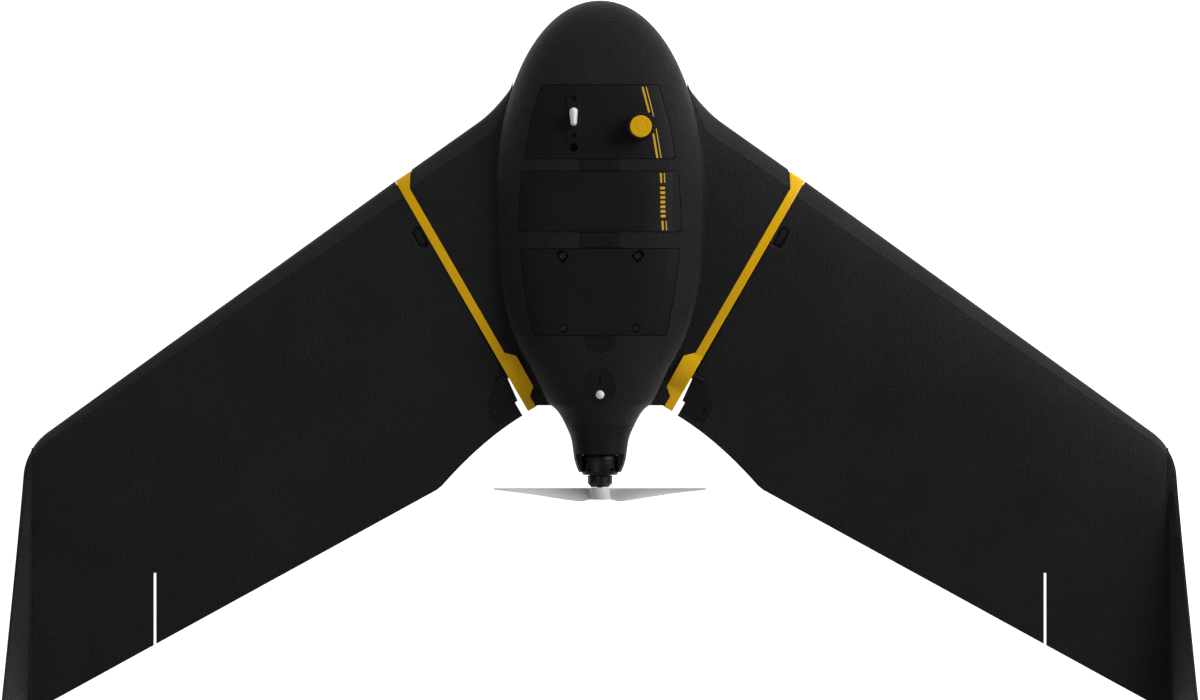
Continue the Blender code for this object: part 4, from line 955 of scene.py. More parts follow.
def build_battery_hatch():
    """The hatch, its label field, and plain bars on the stripe's line."""
    hatch = cover_solid("battery_hatch_fine", BATTERY_HATCH)
    bevel(hatch, 0.45)
    finished(hatch, MAT["shell"], "battery_hatch", ["battery_hatch"])
    front, rear = BATTERY_HATCH[0] - 0.9, BATTERY_HATCH[1] + 0.9

    def field(lift):
        xs = np.linspace(LABEL_INNER_X, LABEL_OUTER_X, 9)
        return [[(x, y, body_top(x, y) + lift) for x in xs] for y in np.linspace(front, rear, 12)]

    label = slab("hatch_label_field", field(0.05), field(-0.12))
    finished(label, MAT["gloss"], "battery_hatch")
    bars = []
    for low, high in BAR_SPANS:
        for x, width in ((58.6, WIDE_LINE), (62.0, THIN_LINE)):
            start = (x + (BAR_TOP_Y - high) / BAR_SLOPE, high)
            end = (x + 0.3 + (BAR_TOP_Y - low) / BAR_SLOPE, low)
            bars.append(band(f"bar_{x}_{low}", [start, end], width))
    for index in range(DASHES):
        top = DASH_TOP_Y - index * DASH_PITCH
        x = 60.2 + (BAR_TOP_Y - top) / DASH_SLOPE
        bars.append(band(f"dash_{index}", [(x, top), (x + 0.05, top - DASH_LENGTH)], DASH_WIDTH))
    finished(joined("hatch_bars", bars), MAT["ink"], "battery_hatch")


def screw_recess(x, y):
    """A round on the outer side, with one corner pointing inward and one to the rear."""
    outward = math.copysign(1.0, x)
    angles = [math.radians(70 + 165 * k / 30) for k in range(31)]
    arc = [(x + (1.8 - 4.5 * math.cos(a)) * outward, y + 1.4 + 4.5 * math.sin(a)) for a in angles]
    return arc + [(x - 0.2 * outward, y - 7.6), (x - 6.6 * outward, y + 0.2)]


def build_service_cover():
    """The rear cover with its screw recesses and the double line engraved along its right edge."""
    cover = cover_solid("service_cover_fine", SERVICE_COVER)
    cuts, painted_shade_sheets = [], []
    for index, (x, y) in enumerate(SERVICE_SCREWS, start=1):
        surface = body_top(x, y)
        radius = 5.4 if y > 70 else 4.2
        outline = screw_recess(x, y) if y > 70 else kite(x, y, radius, 1.4 * radius, steps=41)
        cuts.append(prism(f"recess_{index}", outline, surface - 2.3, surface + 5))
        # painted shade: a near-black sheet at the bottom of each screw recess
        painted_shade_sheets.append(prism(f"recess_floor_{index}", outline, surface - 2.6, surface - 2.2))
        cuts.append(rod(f"hole_{index}", (x, y, surface - 14), (x, y, surface + 5), 1.9, 24))
    for offset in (0.0, 3.6):
        ends = ((59.4, 1.0, 110.6), (58.6, 0.95, 84.0), (55.3, 0.9, 56.0), (49.8, 0.7, 29.4))
        line = [(x + offset * spread, y) for x, spread, y in ends]
        cuts.append(band(f"groove_{offset}", line, 0.5, height=0.5, depth=0.3))
    cut_all(cover, cuts)
    finished(cover, MAT["shell"], "fuselage", ["service_cover"])
    for floor in painted_shade_sheets:
        finished(floor, MAT["painted_shade"], "fuselage")
    for index in range(1, 5):
        screw = copy_of(f"cover_screw_{index}", f"cover_screw_{index}_fine", 0.25)
        finished(screw, MAT["dark_metal"], "fuselage", [f"cover_screw_{index}"])


def build_top_fittings():
    """Airspeed probe, antenna, beacon, and the finger patch behind the service cover."""
    base = copy_of("airspeed_base", "airspeed_base_fine", 0.2)
    finished(base, MAT["shell"], "fuselage", ["airspeed_base"])
    # painted shade: a near-black disc at each port stands in for the shade in its hole
    for name, y, radius in PORT_SHADE_DISCS:
        z = body_top(AIRSPEED_X, y)
        profile = [(0.02, 0.4), (radius, 0.45), (radius, 0.95), (radius * 0.6, 0.8), (0.02, 0.75)]
        well = turned(name, profile, (AIRSPEED_X, y, z), "Z", 40)
        finished(well, MAT["painted_shade"], "fuselage")
    low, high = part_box("airspeed_probe")
    foot, top = low.z / MM, high.z / MM
    rings = []
    steps = [(0.0, 0.0), (0.55, 0.25), (0.72, 0.5), (0.82, 0.9), (0.9, 1.5), (0.96, 2.2), (1.0, 3.1)]
    for share, shrink in steps:
        front_radius, rear_radius = PROBE_FRONT_RADIUS - shrink, max(PROBE_REAR_RADIUS - shrink, 0.1)
        z = foot + (top - foot) * share
        ring = []
        for k in range(64):
            angle = 2 * math.pi * k / 64
            ahead = math.sin(angle) > 0
            radius = front_radius if ahead else rear_radius
            middle = PROBE_FRONT_Y if ahead else PROBE_REAR_Y
            ring.append((AIRSPEED_X + radius * math.cos(angle), middle + radius * math.sin(angle), z))
        rings.append(ring)
    probe = loft("airspeed_probe_fine", rings)
    finished(probe, MAT["white"], "fuselage", ["airspeed_probe"], 50)
    low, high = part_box("antenna_housing")
    foot, rim = low.z / MM, high.z / MM
    profile = [
        (0.02, foot), (12.6, foot), (13.0, foot + 0.4), (13.0, rim - 0.7), (12.5, rim - 0.1),
        (12.0, rim), (11.0, rim), (10.7, rim - 0.3), (10.7, rim - 1.2), (0.02, rim - 1.2),
    ]
    housing = turned("antenna_housing_fine", profile, (ANTENNA_X, ANTENNA_Y, 0), "Z", 96)
    finished(housing, MAT["shell"], "fuselage", ["antenna_housing"])
    profile = [
        (0.02, rim - 0.9), (10.5, rim - 0.9), (10.5, rim + 0.05), (10.2, rim + 0.28), (9.8, rim + 0.32),
        (6.6, rim + 0.32), (6.4, rim + 0.12), (5.4, rim + 0.12), (5.2, rim + 0.32), (0.02, rim + 0.32),
    ]
    cap = turned("antenna_cap_fine", profile, (ANTENNA_X, ANTENNA_Y, 0), "Z", 96)
    finished(cap, MAT["yellow"], "fuselage", ["antenna_cap"])
    plate = round_patch("beacon_plate_fine", (0, BEACON_Y), *BEACON_SIZE, body_top, below(2.0))
    z = body_top(0, BEACON_LENS_Y)
    slot_z = body_top(0, BEACON_SLOT_Y)
    lens_well = rod("lens_well", (0, BEACON_LENS_Y, z - 9), (0, BEACON_LENS_Y, z + 6), 4.8, 40)
    cut(plate, [lens_well, box("beacon_slot", (0, BEACON_SLOT_Y, slot_z), (1.6, 5.9, 2.6))])
    finished(plate, MAT["shell"], "fuselage", ["beacon_plate"])
    # painted shade: a near-black sheet in the beacon's slot
    slot = box("beacon_slot_shade", (0, BEACON_SLOT_Y, slot_z - 1.45), (2.2, 6.5, 0.5))
    bevel(slot, 0.1)
    finished(slot, MAT["painted_shade"], "fuselage")
    lens = copy_of("beacon_lens", "beacon_lens_fine")
    modifier = lens.modifiers.new("smooth", "SUBSURF")
    modifier.levels = modifier.render_levels = 2
    finished(bake(lens), MAT["white"], "fuselage", ["beacon_lens"], 60)
    half = {"start": 180.0, "sweep": 180.0}
    patch = round_patch("finger_plate_service_fine", HALF_PLATE, 15.4, 15.4, body_top, below(2.0), **half)
    edge = HALF_PLATE[1] + 1.0
    cut(patch, [round_patch("rear_dish", (0, edge), 11.6, 11.6, below(-2.0), below(0.6))])
    bevel(patch, 0.25)
    finished(patch, MAT["shell"], "fuselage", ["finger_plate_service"])


def body_rings(ys):
    return [ring_at(y, *[station(y, k) for k in (1, 2, 3, 4)], roundness(y), 96) for y in ys]


def build_tail():
    """The foam neck, and the fairing whose cheeks run beside the motor."""
    neck = loft("tail_neck_fine", body_rings(np.linspace(BODY_REAR_Y + 1.5, NECK_REAR_Y, 14)))
    finished(neck, MAT["foam"], "fuselage", ["tail_neck"])
    rings = body_rings([NECK_REAR_Y + 0.05] + list(np.linspace(NECK_REAR_Y - GAP, -86.0, 16)))
    for y in (-89.0, -92.0, -95.0, -98.0, -100.0, -102.0, -103.2, -104.0):
        radius = float(np.interp(-y, [86.0, 92.0, 98.0, 102.0, 104.0], [25.7, 24.8, 23.0, 21.4, 20.2]))
        rings.append(ring_at(y, radius, MOTOR_Z - radius, MOTOR_Z + radius, MOTOR_Z, 2.0, 96))
    fairing = loft("tail_fairing_fine", rings)
    cut(fairing, [rod("motor_bore", (0, -78.0, MOTOR_Z), (0, -112, MOTOR_Z), 20.0, 96),
                  box("cheek_cut_top", (0, -102.0, MOTOR_Z + 24), (60, 31.0, 27)),
                  box("cheek_cut_bottom", (0, -102.0, MOTOR_Z - 24), (60, 31.0, 27))])
    bevel(fairing, 0.4)
    finished(fairing, MAT["shell"], "fuselage", ["tail_fairing"])


def build_belly():
    """The belly plate, camera and ground sensor, with rounded edges and their lens rings."""
    for node, key, width, slot in (
        ("belly_plate", "shell", 0.8, "shell_plastic"),
        ("camera_body", "shell", 0.6, "shell_plastic"),
        ("camera_lens", "lens", 0.0, "lens_glass"),
        ("ground_sensor", "gloss", 0.5, "shell_plastic"),
    ):
        piece = copy_of(node, node + "_fine", width)
        finished(piece, MAT[key], "fuselage", [node])
    profile = [(13.8, 1.4), (16.4, 1.4), (16.8, 1.8), (16.8, 6.0), (13.8, 6.0)]
    ring = turned("camera_lens_ring", profile, (0, 150, 0), "Z", 72)
    finished(ring, MAT["dark_metal"], "fuselage")


# ---------------------------------------------------------------- motor and propeller


def around(obj, angle, reach, y):
    """Turns a box made at the origin to face out from the motor's axis, and moves it there."""
    obj.data.transform(Matrix.Rotation(math.pi / 2 - angle, 4, "Y"))
    place = (reach * math.cos(angle) * MM, y * MM, (MOTOR_Z + reach * math.sin(angle)) * MM)
    obj.data.transform(Matrix.Translation(place))
    return obj


def build_motor():
    """The bell with its vents, the hexagonal adapter, and the rings that close the gaps beside them."""
    bell_profile = [
        (15.4, -88.2), (16.6, -87.8), (17.6, -88.0), (BELL_RADIUS, -88.8), (BELL_RADIUS, -92.0),
        (17.75, -92.3), (17.75, -93.0), (BELL_RADIUS, -93.3), (BELL_RADIUS, -103.6), (17.4, -105.4),
        (16.2, -106.8), (SHAFT_BORE, -106.8), (SHAFT_BORE, -102.6), (14.4, -102.6), (15.4, -101.6),
    ]
    bell = turned("motor_bell_fine", bell_profile, sides=120)
    slots = []
    for k in range(BELL_VENTS):
        angle = 2 * math.pi * (k + 0.45) / BELL_VENTS
        slots.append(around(box(f"vent_{k}", (0, 0, 0), (4.0, 2.6, 4.4)), angle, BELL_RADIUS, VENT_Y))
    cut_all(bell, slots)
    finished(bell, MAT["dark_metal"], "propeller_group", ["motor_bell"])
    adapter_profile = [
        (SHAFT_BORE, -107.2), (11.4, -107.2), (12.2, -108.0),
        (12.2, -114.6), (8.6, -118.4), (SHAFT_BORE, -118.4),
    ]
    adapter = turned("prop_adapter_fine", adapter_profile, sides=96)
    flats = []
    for k in range(FLATS):
        angle = 2 * math.pi * k / FLATS
        flats.append(around(box(f"flat_{k}", (0, 0, 0), (6.0, 5.0, 2.0)), angle, FLAT_REACH, FLAT_Y))
    cut_all(adapter, flats)
    finished(adapter, MAT["dark_metal"], "propeller_group", ["prop_adapter"])
    profile = [(SHAFT_BORE, -86.0), (17.0, -86.0), (17.0, -87.75), (SHAFT_BORE, -87.75)]
    base = turned("motor_base_ring", profile, sides=96)
    finished(base, MAT["shell"], "fuselage")
    profile = [(SHAFT_BORE, -106.6), (10.4, -106.6), (10.4, -107.4), (SHAFT_BORE, -107.4)]
    washer = turned("adapter_washer", profile, sides=96)
    finished(washer, MAT["dark_metal"], "propeller_group")
    for node, key, slot, body in (
        ("motor_shaft", "metal", "metal", "propeller_group"),
        ("prop_screw", "metal", "metal", "propeller_group"),
        ("motor_mount", "shell", "shell_plastic", "fuselage"),
        ("motor_stator", "metal", "metal", "fuselage"),
    ):
        finished(copy_of(node, node + "_fine", 0.2), MAT[key], body, [node])


def build_propeller():
    """The hub with its two blades, and the recess for the screw."""
    front, rear = HUB_FRONT_Y, HUB_REAR_Y
    hub_profile = [
        (SHAFT_BORE, front), (9.4, front), (9.95, front - 0.25), (10.2, front - 0.8),
        (10.2, rear + 0.8), (9.95, rear + 0.25), (9.4, rear), (SHAFT_BORE, rear),
    ]
    hub = turned("propeller_fine", hub_profile, sides=96)
    for side, name in ((1, "blade_right"), (-1, "blade_left")):
        stations = list(np.linspace(6.0, 99.0, 36)) + [100.6, 101.6, 102.2, 102.4]
        cut(hub, [loft(name, [blade_section(r, side, points=40) for r in stations])], "UNION")
    cut(hub, [rod("hub_bore", (0, -110, MOTOR_Z), (0, -140, MOTOR_Z), SHAFT_BORE),
              rod("screw_recess", (0, -127.8, MOTOR_Z), (0, -140, MOTOR_Z), 5.4, 48)])
    finished(hub, MAT["grey"], "propeller_group", ["propeller"], 45)


# ---------------------------------------------------------------- wings


def span_point(chord, out, z, side):
    point = root_point(chord, out, side)
    return Vector((point.x, point.y, z))


def hinge_point(out, ahead, z, side):
    """A point out along the hinge line, and ahead of it square to the line."""
    point = root_point(HINGE_CHORD) + ALONG * out + FORWARD * ahead
    return Vector((side * point.x, point.y, z))


def mirrored(points, side):
    return [[(side * x, y, z) for x, y, z in row] for row in points]


def ring_at(y, half_width, low, high, level, power, sides=28):
    ring = []
    for k in range(sides):
        angle = 2 * math.pi * k / sides
        c, s = math.cos(angle), math.sin(angle)
        x = math.copysign(abs(c) ** (2 / power), c) * half_width
        share = math.copysign(abs(s) ** (2 / power), s)
        z = level + share * ((high - level) if s >= 0 else (level - low))
        ring.append((x, y, z))
    return ring


def rib_point(chord, share):
    """A plan point on the rib, from its outer face (share 0) to its inner edge (share 1)."""
    depth = rib_inboard(chord) * share
    ahead = 0.052 * depth if chord < 100.0 else 0.0
    normal = Vector((-ROOT_LINE.y, ROOT_LINE.x))
    return Vector((ROOT_X, ROOT_Y)) + ROOT_LINE * (chord - ahead) - normal * depth


def rib_grids(chords, shares):
    """The rib's upper and lower surface: proud of the foam, and raised over the servo's shaft."""
    high, low = [], []
    for chord in chords:
        proud = 0.35 * min(chord, 1.0)
        raised = RIB_RAISED * max(0.0, 1 - ((chord - HINGE_CHORD) / RIB_RAISED_REACH) ** 2)
        plan = [rib_point(chord, share) for share in shares]
        high.append([(p.x, p.y, body_top(p.x, p.y) + proud + raised) for p in plan])
        low.append([(p.x, p.y, body_bottom(p.x, p.y) - proud) for p in plan])
    return high, low


def guard_width(share):
    return 17.0 - 8.5 * share


def guard_direction(share):
    direction = ROOT_LINE * (1 - share) + Vector((0.0, -1.0)) * share
    return direction.normalized()


def guard_front(share):
    x = (ROOT_X + 0.4) + (TIP_X - GAP / 2 - ROOT_X - 0.4) * share
    return Vector((x, leading_edge(x)))


def elevon_rear(share):
    """The elevon's trailing edge: a shallow scoop clear of the propeller, then the straight edge."""
    if share < 0.36:
        reach = (SCOOP_END_X - SCOOP_ROOT_X) * share / 0.36
        return Vector((SCOOP_ROOT_X + reach, SCOOP_ROOT_Y - 0.6034 * reach - 0.003432 * reach**2))
    x = SCOOP_END_X + (SLIT_X - SLIT_WIDTH / 2 - SCOOP_END_X) * (share - 0.36) / 0.64
    return Vector((x, trailing_edge(x)))


def elevon_grid(height, shares, across, grooved):
    """Rows over the elevon, from its front edge or from the back of the groove below the hinge."""
    end_out = (SLIT_X - SLIT_WIDTH / 2 - root_point(HINGE_CHORD).x) / ALONG.x
    grid = []
    for share in shares:
        eased = share if share > 0.36 else share * 0.8 + 0.2 * share * share / 0.36
        out = ELEVON_ROOT + (end_out - ELEVON_ROOT) * eased
        front = root_point(HINGE_CHORD) + ALONG * out - FORWARD * HINGE_GAP
        rear = elevon_rear(share)
        if grooved:
            depth = wing_top(front.x, front.y) - wing_bottom(front.x, front.y)
            front = front.lerp(rear, min(depth * math.tan(GROOVE_ANGLE) / (rear - front).length, 0.6))
        plan = [front.lerp(rear, v) for v in across]
        grid.append([(p.x, p.y, height(p.x, p.y)) for p in plan])
    return grid


def horn_grid(grow, height, side):
    """The horn's kite shaped plate, in rows from near the root outwards, as (out, back) from the hinge."""
    near = [(0.9, -0.5), (1.4, 6.0), (2.2, 14.0), (3.2, 26.2), (6.8, 27.0), (8.2, 36.0)]
    far = [(12.0, -0.5), (20.0, 6.5), (28.5, 13.5), (32.5, 23.0), (32.8, 26.0), (31.0, 36.5)]
    rows = []
    for index, (inner, outer) in enumerate(zip(near, far)):
        back = {0: -grow, len(near) - 1: grow}.get(index, 0.0)
        row = []
        for t in (0.0, 0.25, 0.5, 0.75, 1.0):
            out = inner[0] - grow + (outer[0] - inner[0] + 2 * grow) * t
            p = hinge_point(out, -(inner[1] + (outer[1] - inner[1]) * t + back), 0, 1)
            row.append((side * p.x, p.y, height(p.x, p.y)))
        rows.append(row)
    return rows


def winglet_section(y, side):
    """The winglet's section at a station along its foot, with its upper part raked back."""
    low, high = wing_bottom(TIP_X, y), wing_top(TIP_X, y)
    outer = TIP_OUTER_X
    for x in np.linspace(TIP_X, TIP_OUTER_X, 60):
        if leading_edge(float(x)) <= y + 0.6:
            outer = float(x)
            break
    run = max((WINGLET_FRONT_Y - y) / (WINGLET_FRONT_Y - WINGLET_REAR_Y), 0.0)
    rise = run * WINGLET_HEIGHT
    width = outer - TIP_X - GAP
    edge = max(4.2 - 1.0 * run, 0.1)
    inner = TIP_X + GAP
    top_outer = inner + width * (0.97 if rise else 0.72) + WINGLET_LEAN * run**1.15
    section = [
        (inner, low + 0.2),
        (inner + 0.55 * width, low + 0.12 * (high - low)),
        (inner + 0.9 * width, low + 0.42 * (high - low)),
        (inner + width, high - 0.1 * (high - low)),
        (top_outer, high + rise * 0.96),
        (top_outer - 0.5 * min(edge, 0.5 * width + rise), high + rise),
        (top_outer - min(edge, 0.9 * width + rise), high + rise * 0.95 - 0.05),
        (inner + (0.12 + 0.45 * run) * width, high + 0.02 * rise - 0.1),
        (inner, high - 0.15),
    ]
    rake = WINGLET_RAKE * run
    return [(side * x, y - rake * max(z - high, 0.0) / WINGLET_HEIGHT, z) for x, z in section]


def blade_section(radius, side, points=14):
    """A cambered section of the blade at a radius, with its front edge in the blades' front plane."""
    t = (radius - BLADE_RADII[0]) / (BLADE_RADII[-1] - BLADE_RADII[0])
    chord = float(np.interp(radius, BLADE_RADII, BLADE_CHORDS))
    pitch = math.atan(PROPELLER_LEAD / (2 * math.pi * max(radius, 17.0)))
    thickness = 2.9 * (1 - 0.72 * t)
    ring = []
    for k in range(points):
        angle = 2 * math.pi * k / points
        along = 0.5 * chord * math.cos(angle) - 1.6 * t**2
        across = 0.5 * thickness * math.sin(angle) + 0.9 * (1 - math.cos(angle) ** 2)
        y = along * math.sin(pitch) - across * math.cos(pitch)
        z = along * math.cos(pitch) + across * math.sin(pitch)
        ring.append((side * radius, y, MOTOR_Z + side * z))
    lift = BLADE_FRONT_Y - max(y for _, y, _ in ring)
    return [(x, y + lift, z) for x, y, z in ring]


RIB_PITCH = 4.4
RIB_DEPTH = 0.55


def ridge(distance):
    """0 to -RIB_DEPTH: the height of the moulded ridges at a distance along a guard."""
    wave = math.cos(2 * math.pi * distance / RIB_PITCH)
    return -RIB_DEPTH * (0.5 - 0.5 * math.copysign(abs(wave) ** 0.6, wave))


def ridge_share(v):
    """The ridges fade out at the front edge and at the seam."""
    return min(1.0, max(0.0, (v - 0.16) / 0.08)) * min(1.0, max(0.0, (0.97 - v) / 0.04))


GUARD_SHARES = (0.0, 0.01, 0.03, 0.07, 0.12, 0.18, 0.24, 0.4, 0.6, 0.8, 0.93, 0.97, 1.0)


def build_strake_guard(side, word):
    start, end = 86.8, 182.2
    count = 150
    high, low = [], []
    for i in range(count + 1):
        x = start + (end - start) * i / count
        front, rear = leading_edge(x), guard_inner(x)
        top_row, bottom_row = [], []
        for v in GUARD_SHARES:
            y = front + (rear - front) * v
            ribs = ridge((x - start) * 1.22 + 7.0 * v) * ridge_share(v)
            fade = min(1.0, max(0.0, (x - 104.0) / 6.0))
            top_row.append((x, y, wing_top(x, y) + ribs * fade))
            bottom_row.append((x, y, wing_bottom(x, y) - ribs * fade))
        high.append(top_row)
        low.append(bottom_row)
    guard = slab(f"strake_guard_{word}_fine", mirrored(high, side), mirrored(low, side))
    finished(guard, MAT["guard"], "fuselage", [f"strake_guard_{word}"], 60)


def build_wing_guard(side, word):
    count = 560
    high, low = [], []
    length = (TIP_X - ROOT_X) * 1.2337
    for i in range(count + 1):
        share = 1 - (1 - i / count) ** 1.25
        front = guard_front(share)
        reach = guard_direction(share) * guard_width(share)
        top_row, bottom_row = [], []
        for v in GUARD_SHARES:
            p = front + reach * v
            fade = min(1.0, (1.0 - share) / 0.12, share / 0.004)
            ribs = ridge(length * share + 8.0 * v) * ridge_share(v) * fade
            top_row.append((p.x, p.y, wing_top(p.x, p.y) + ribs))
            bottom_row.append((p.x, p.y, wing_bottom(p.x, p.y) - ribs))
        high.append(top_row)
        low.append(bottom_row)
    guard = slab(f"wing_guard_{word}_fine", mirrored(high, side), mirrored(low, side))
    cut(guard, [tongue(f"guard_groove_{word}", side, 4.0, 40.0, 3.0, 0.4)])
    finished(guard, MAT["guard"], f"wing_{word}", [f"wing_guard_{word}"], 60)


def build_rib(side, word):
    """The yellow rib, with a smooth swelling over the servo's shaft and softened edges."""
    kinks = [c for c, _ in RIB_OUTLINE[1:]]
    even = [c for c in np.linspace(14.5, 255.0, 90) if min(abs(c - k) for k in kinks) > 0.8]
    chords = [0.0, 0.3, 0.8, 1.6, 2.8, 4.5, 7.0, 10.0] + sorted(kinks + even)
    high, low = rib_grids(chords, (1.0, 0.85, 0.6, 0.4, 0.2, 0.0))
    rib = slab(f"root_rib_{word}_fine", mirrored(high, side), mirrored(low, side))
    cut(rib, [spar_rod(f"rib_spar_hole_{word}", -40, 20, SLEEVE_HOLE_RADIUS, side),
              hinge_rod(f"rib_shaft_hole_{word}", -30, 10, HUB_RADIUS + 0.5, side)])
    bevel(rib, 0.35, 2, 50)
    finished(rib, MAT["yellow"], "fuselage", [f"root_rib_{word}"])


def panel_grid(height, spans=70):
    root_rear = root_point(278.0, 0.4)
    chordwise = [0.0, 0.004, 0.012, 0.025, 0.045, 0.07] + list(np.linspace(0.1, 0.97, 40)) + [0.99, 1.0]
    grid = []
    for i in range(spans + 1):
        share = 1 - (1 - i / spans) ** 1.3
        front = guard_front(share) + guard_direction(share) * (guard_width(share) + GAP)
        rear_x = root_rear.x + (TIP_X - GAP / 2 - root_rear.x) * share
        rear = Vector((rear_x, trailing_edge(rear_x)))
        if i == spans:
            front.x = rear.x
        row = [front.lerp(rear, v) for v in chordwise]
        grid.append([(p.x, p.y, height(p.x, p.y)) for p in row])
    return grid


def build_wing_panel(side, word):
    """The foam panel, with room for the elevon, the spar and the latch."""
    high, low = mirrored(panel_grid(wing_top), side), mirrored(panel_grid(wing_bottom), side)
    panel = slab(f"wing_panel_{word}_fine", high, low)
    slit = SLIT_X + SLIT_WIDTH / 2
    slit_out = (slit - root_point(HINGE_CHORD).x) / ALONG.x
    corners = [hinge_point(-60, HINGE_GAP, 0, 1), hinge_point(slit_out, HINGE_GAP, 0, 1),
               Vector((slit, -340, 0)), Vector((-10, -340, 0))]
    centre = span_point(LATCH_CHORD, 7.0, 0, side)
    surface = wing_top(abs(centre.x), centre.y)
    turn = side * (math.pi / 2 - SWEEP)
    recess = box(f"latch_recess_{word}", (centre.x, centre.y, surface + 5), (24, 12, 16), turn)
    bevel(recess, 4.0, 6)
    cut_all(panel, [
        prism(f"elevon_space_{word}", [(side * p.x, p.y) for p in corners], 0, 90),
        spar_rod(f"wing_spar_hole_{word}", -20, SPAR_OUTBOARD + GAP, SPAR_HOLE_RADIUS, side),
        hinge_rod(f"hub_notch_{word}", -20, 12, HUB_RADIUS + 0.5, side),
        recess,
        box(f"latch_well_{word}", (centre.x, centre.y, surface - 2), (16.8, 7.8, 18), turn),
        *tongues(side, word, 3.0, 0.4),
        spar_rod(f"collar_seat_{word}", -20, 1.9, 7.6, side),
    ])
    finished(panel, MAT["foam"], f"wing_{word}", [f"wing_panel_{word}"], 30)
    latch = copy_of(f"wing_latch_{word}", f"wing_latch_{word}_fine", 0.15)
    finished(latch, MAT["shell"], f"wing_latch_{word}", [f"wing_latch_{word}"])


def build_hinge_strip(side, word, length):
    """The thin flexible web along the top of the wing that the elevon bends on."""
    rows = []
    for out in np.linspace(9.6, length, 60):
        ends = [hinge_point(out, ahead, 0, 1) for ahead in (-HINGE_GAP - 0.04, 0.0, 0.7)]
        rows.append([(p.x, p.y, wing_top(p.x, p.y) - 0.04) for p in ends])
    low = [[(x, y, z - 1.4) for x, y, z in row] for row in rows]
    strip = slab(f"hinge_strip_{word}", mirrored(rows, side), mirrored(low, side))
    finished(strip, MAT["foam"], f"wing_{word}")


ROOT_NORMAL = Vector((-ROOT_LINE.y, ROOT_LINE.x))


def tongue(name, side, first, last, reach, grow):
    """A ridge on the rib's outer face that fits a groove in the wing, from one chord to another."""
    high, low = [], []
    for chord in np.linspace(first, last, 40):
        plan = [root_point(chord) + ROOT_NORMAL * out for out in (-3.0, 0.0, reach)]
        face = root_point(chord, 2.0)
        middle = (wing_top(face.x, face.y) + wing_bottom(face.x, face.y)) / 2
        half = min(1.0, 0.12 * (wing_top(face.x, face.y) - wing_bottom(face.x, face.y))) + grow
        high.append([(p.x, p.y, middle + half) for p in plan])
        low.append([(p.x, p.y, middle - half) for p in plan])
    return slab(name, mirrored(high, side), mirrored(low, side))


def tongues(side, word, reach, grow):
    spans = ((4.0, SPAR_CHORD - 6.7), (SPAR_CHORD + 6.7, HINGE_CHORD - 3.2))
    names = [f"root_tongue_{word}_{k}_{grow}" for k in range(2)]
    return [tongue(name, side, *span, reach, grow) for name, span in zip(names, spans)]


def build_root_seal(side, word):
    """The ridges that key the wing to the rib, and the foam packed behind the rib."""
    for piece in tongues(side, word, 2.6, 0.0):
        finished(piece, MAT["shell"], "fuselage")
    high, low = [], []
    for chord in [0.6, 1.2, 2.5, 5.0, 9.0] + [c for c, _ in RIB_OUTLINE[1:-1]] + [RIB_OUTLINE[-1][0] - 0.4]:
        plan = [rib_point(chord, 0.7), rib_point(chord, 1.0), rib_point(chord, 1.0) - ROOT_NORMAL * 2.2]
        high.append([(p.x, p.y, body_top(p.x, p.y) - 0.6) for p in plan])
        low.append([(p.x, p.y, body_bottom(p.x, p.y) + 0.6) for p in plan])
    packing = slab(f"rib_packing_{word}", mirrored(high, side), mirrored(low, side))
    finished(packing, MAT["foam"], "fuselage")
    high, low = [], []
    for x in [84.4, 86.0, 88.0, 92.0, 98.0, 102.5] + list(np.linspace(108.0, 183.0, 12)):
        ahead = 1.2 + 3.0 * max(0.0, (92.0 - x) / 8.0)
        plan = [(x, guard_inner(x) + reach) for reach in (-2.2, 0.0, ahead)]
        high.append([(a, b, wing_top(a, b) - 0.7) for a, b in plan])
        low.append([(a, b, wing_bottom(a, b) + 0.7) for a, b in plan])
    packing = slab(f"strake_packing_{word}", mirrored(high, side), mirrored(low, side))
    finished(packing, MAT["foam"], "fuselage")
    bush = hinge_rod(f"shaft_bush_{word}", -6.0, 2.3, HUB_RADIUS + 0.3, side)
    cut(bush, [hinge_rod(f"bush_bore_{word}", -8.0, 4.0, HUB_RADIUS - 0.3, side)])
    finished(bush, MAT["shell"], "fuselage")
    collar = spar_rod(f"spar_collar_{word}", -1.0, 1.6, 7.3, side)
    cut(collar, [spar_rod(f"collar_bore_{word}", -3.0, 2.0, SPAR_HOLE_RADIUS + 0.1, side)])
    finished(collar, MAT["shell"], "fuselage")


def build_wing_seals(side, word):
    """The foam that backs the wing's two glued seams, along the guard and at the winglet."""
    high, low = [], []
    for share in np.linspace(0.001, 0.996, 60):
        reach = guard_direction(share)
        seam = guard_front(share) + reach * guard_width(share)
        plan = [seam + reach * out for out in (-1.6, 0.15, 1.9)]
        high.append([(p.x, p.y, wing_top(p.x, p.y) - 0.5) for p in plan])
        low.append([(p.x, p.y, wing_bottom(p.x, p.y) + 0.5) for p in plan])
    seal = slab(f"guard_seal_{word}", mirrored(high, side), mirrored(low, side))
    finished(seal, MAT["foam"], f"wing_{word}")
    high, low = [], []
    inner = TIP_X - 0.3
    for y in np.linspace(leading_edge(inner) - 1.0, trailing_edge(inner) + 1.5, 50):
        top, bottom = wing_top(inner, y) - 0.5, wing_bottom(inner, y) + 0.5
        high.append([(TIP_X + out, y, top) for out in (-1.6, 0.0, 1.6)])
        low.append([(TIP_X + out, y, bottom) for out in (-1.6, 0.0, 1.6)])
    seal = slab(f"winglet_seal_{word}", mirrored(high, side), mirrored(low, side))
    finished(seal, MAT["foam"], f"wing_{word}")


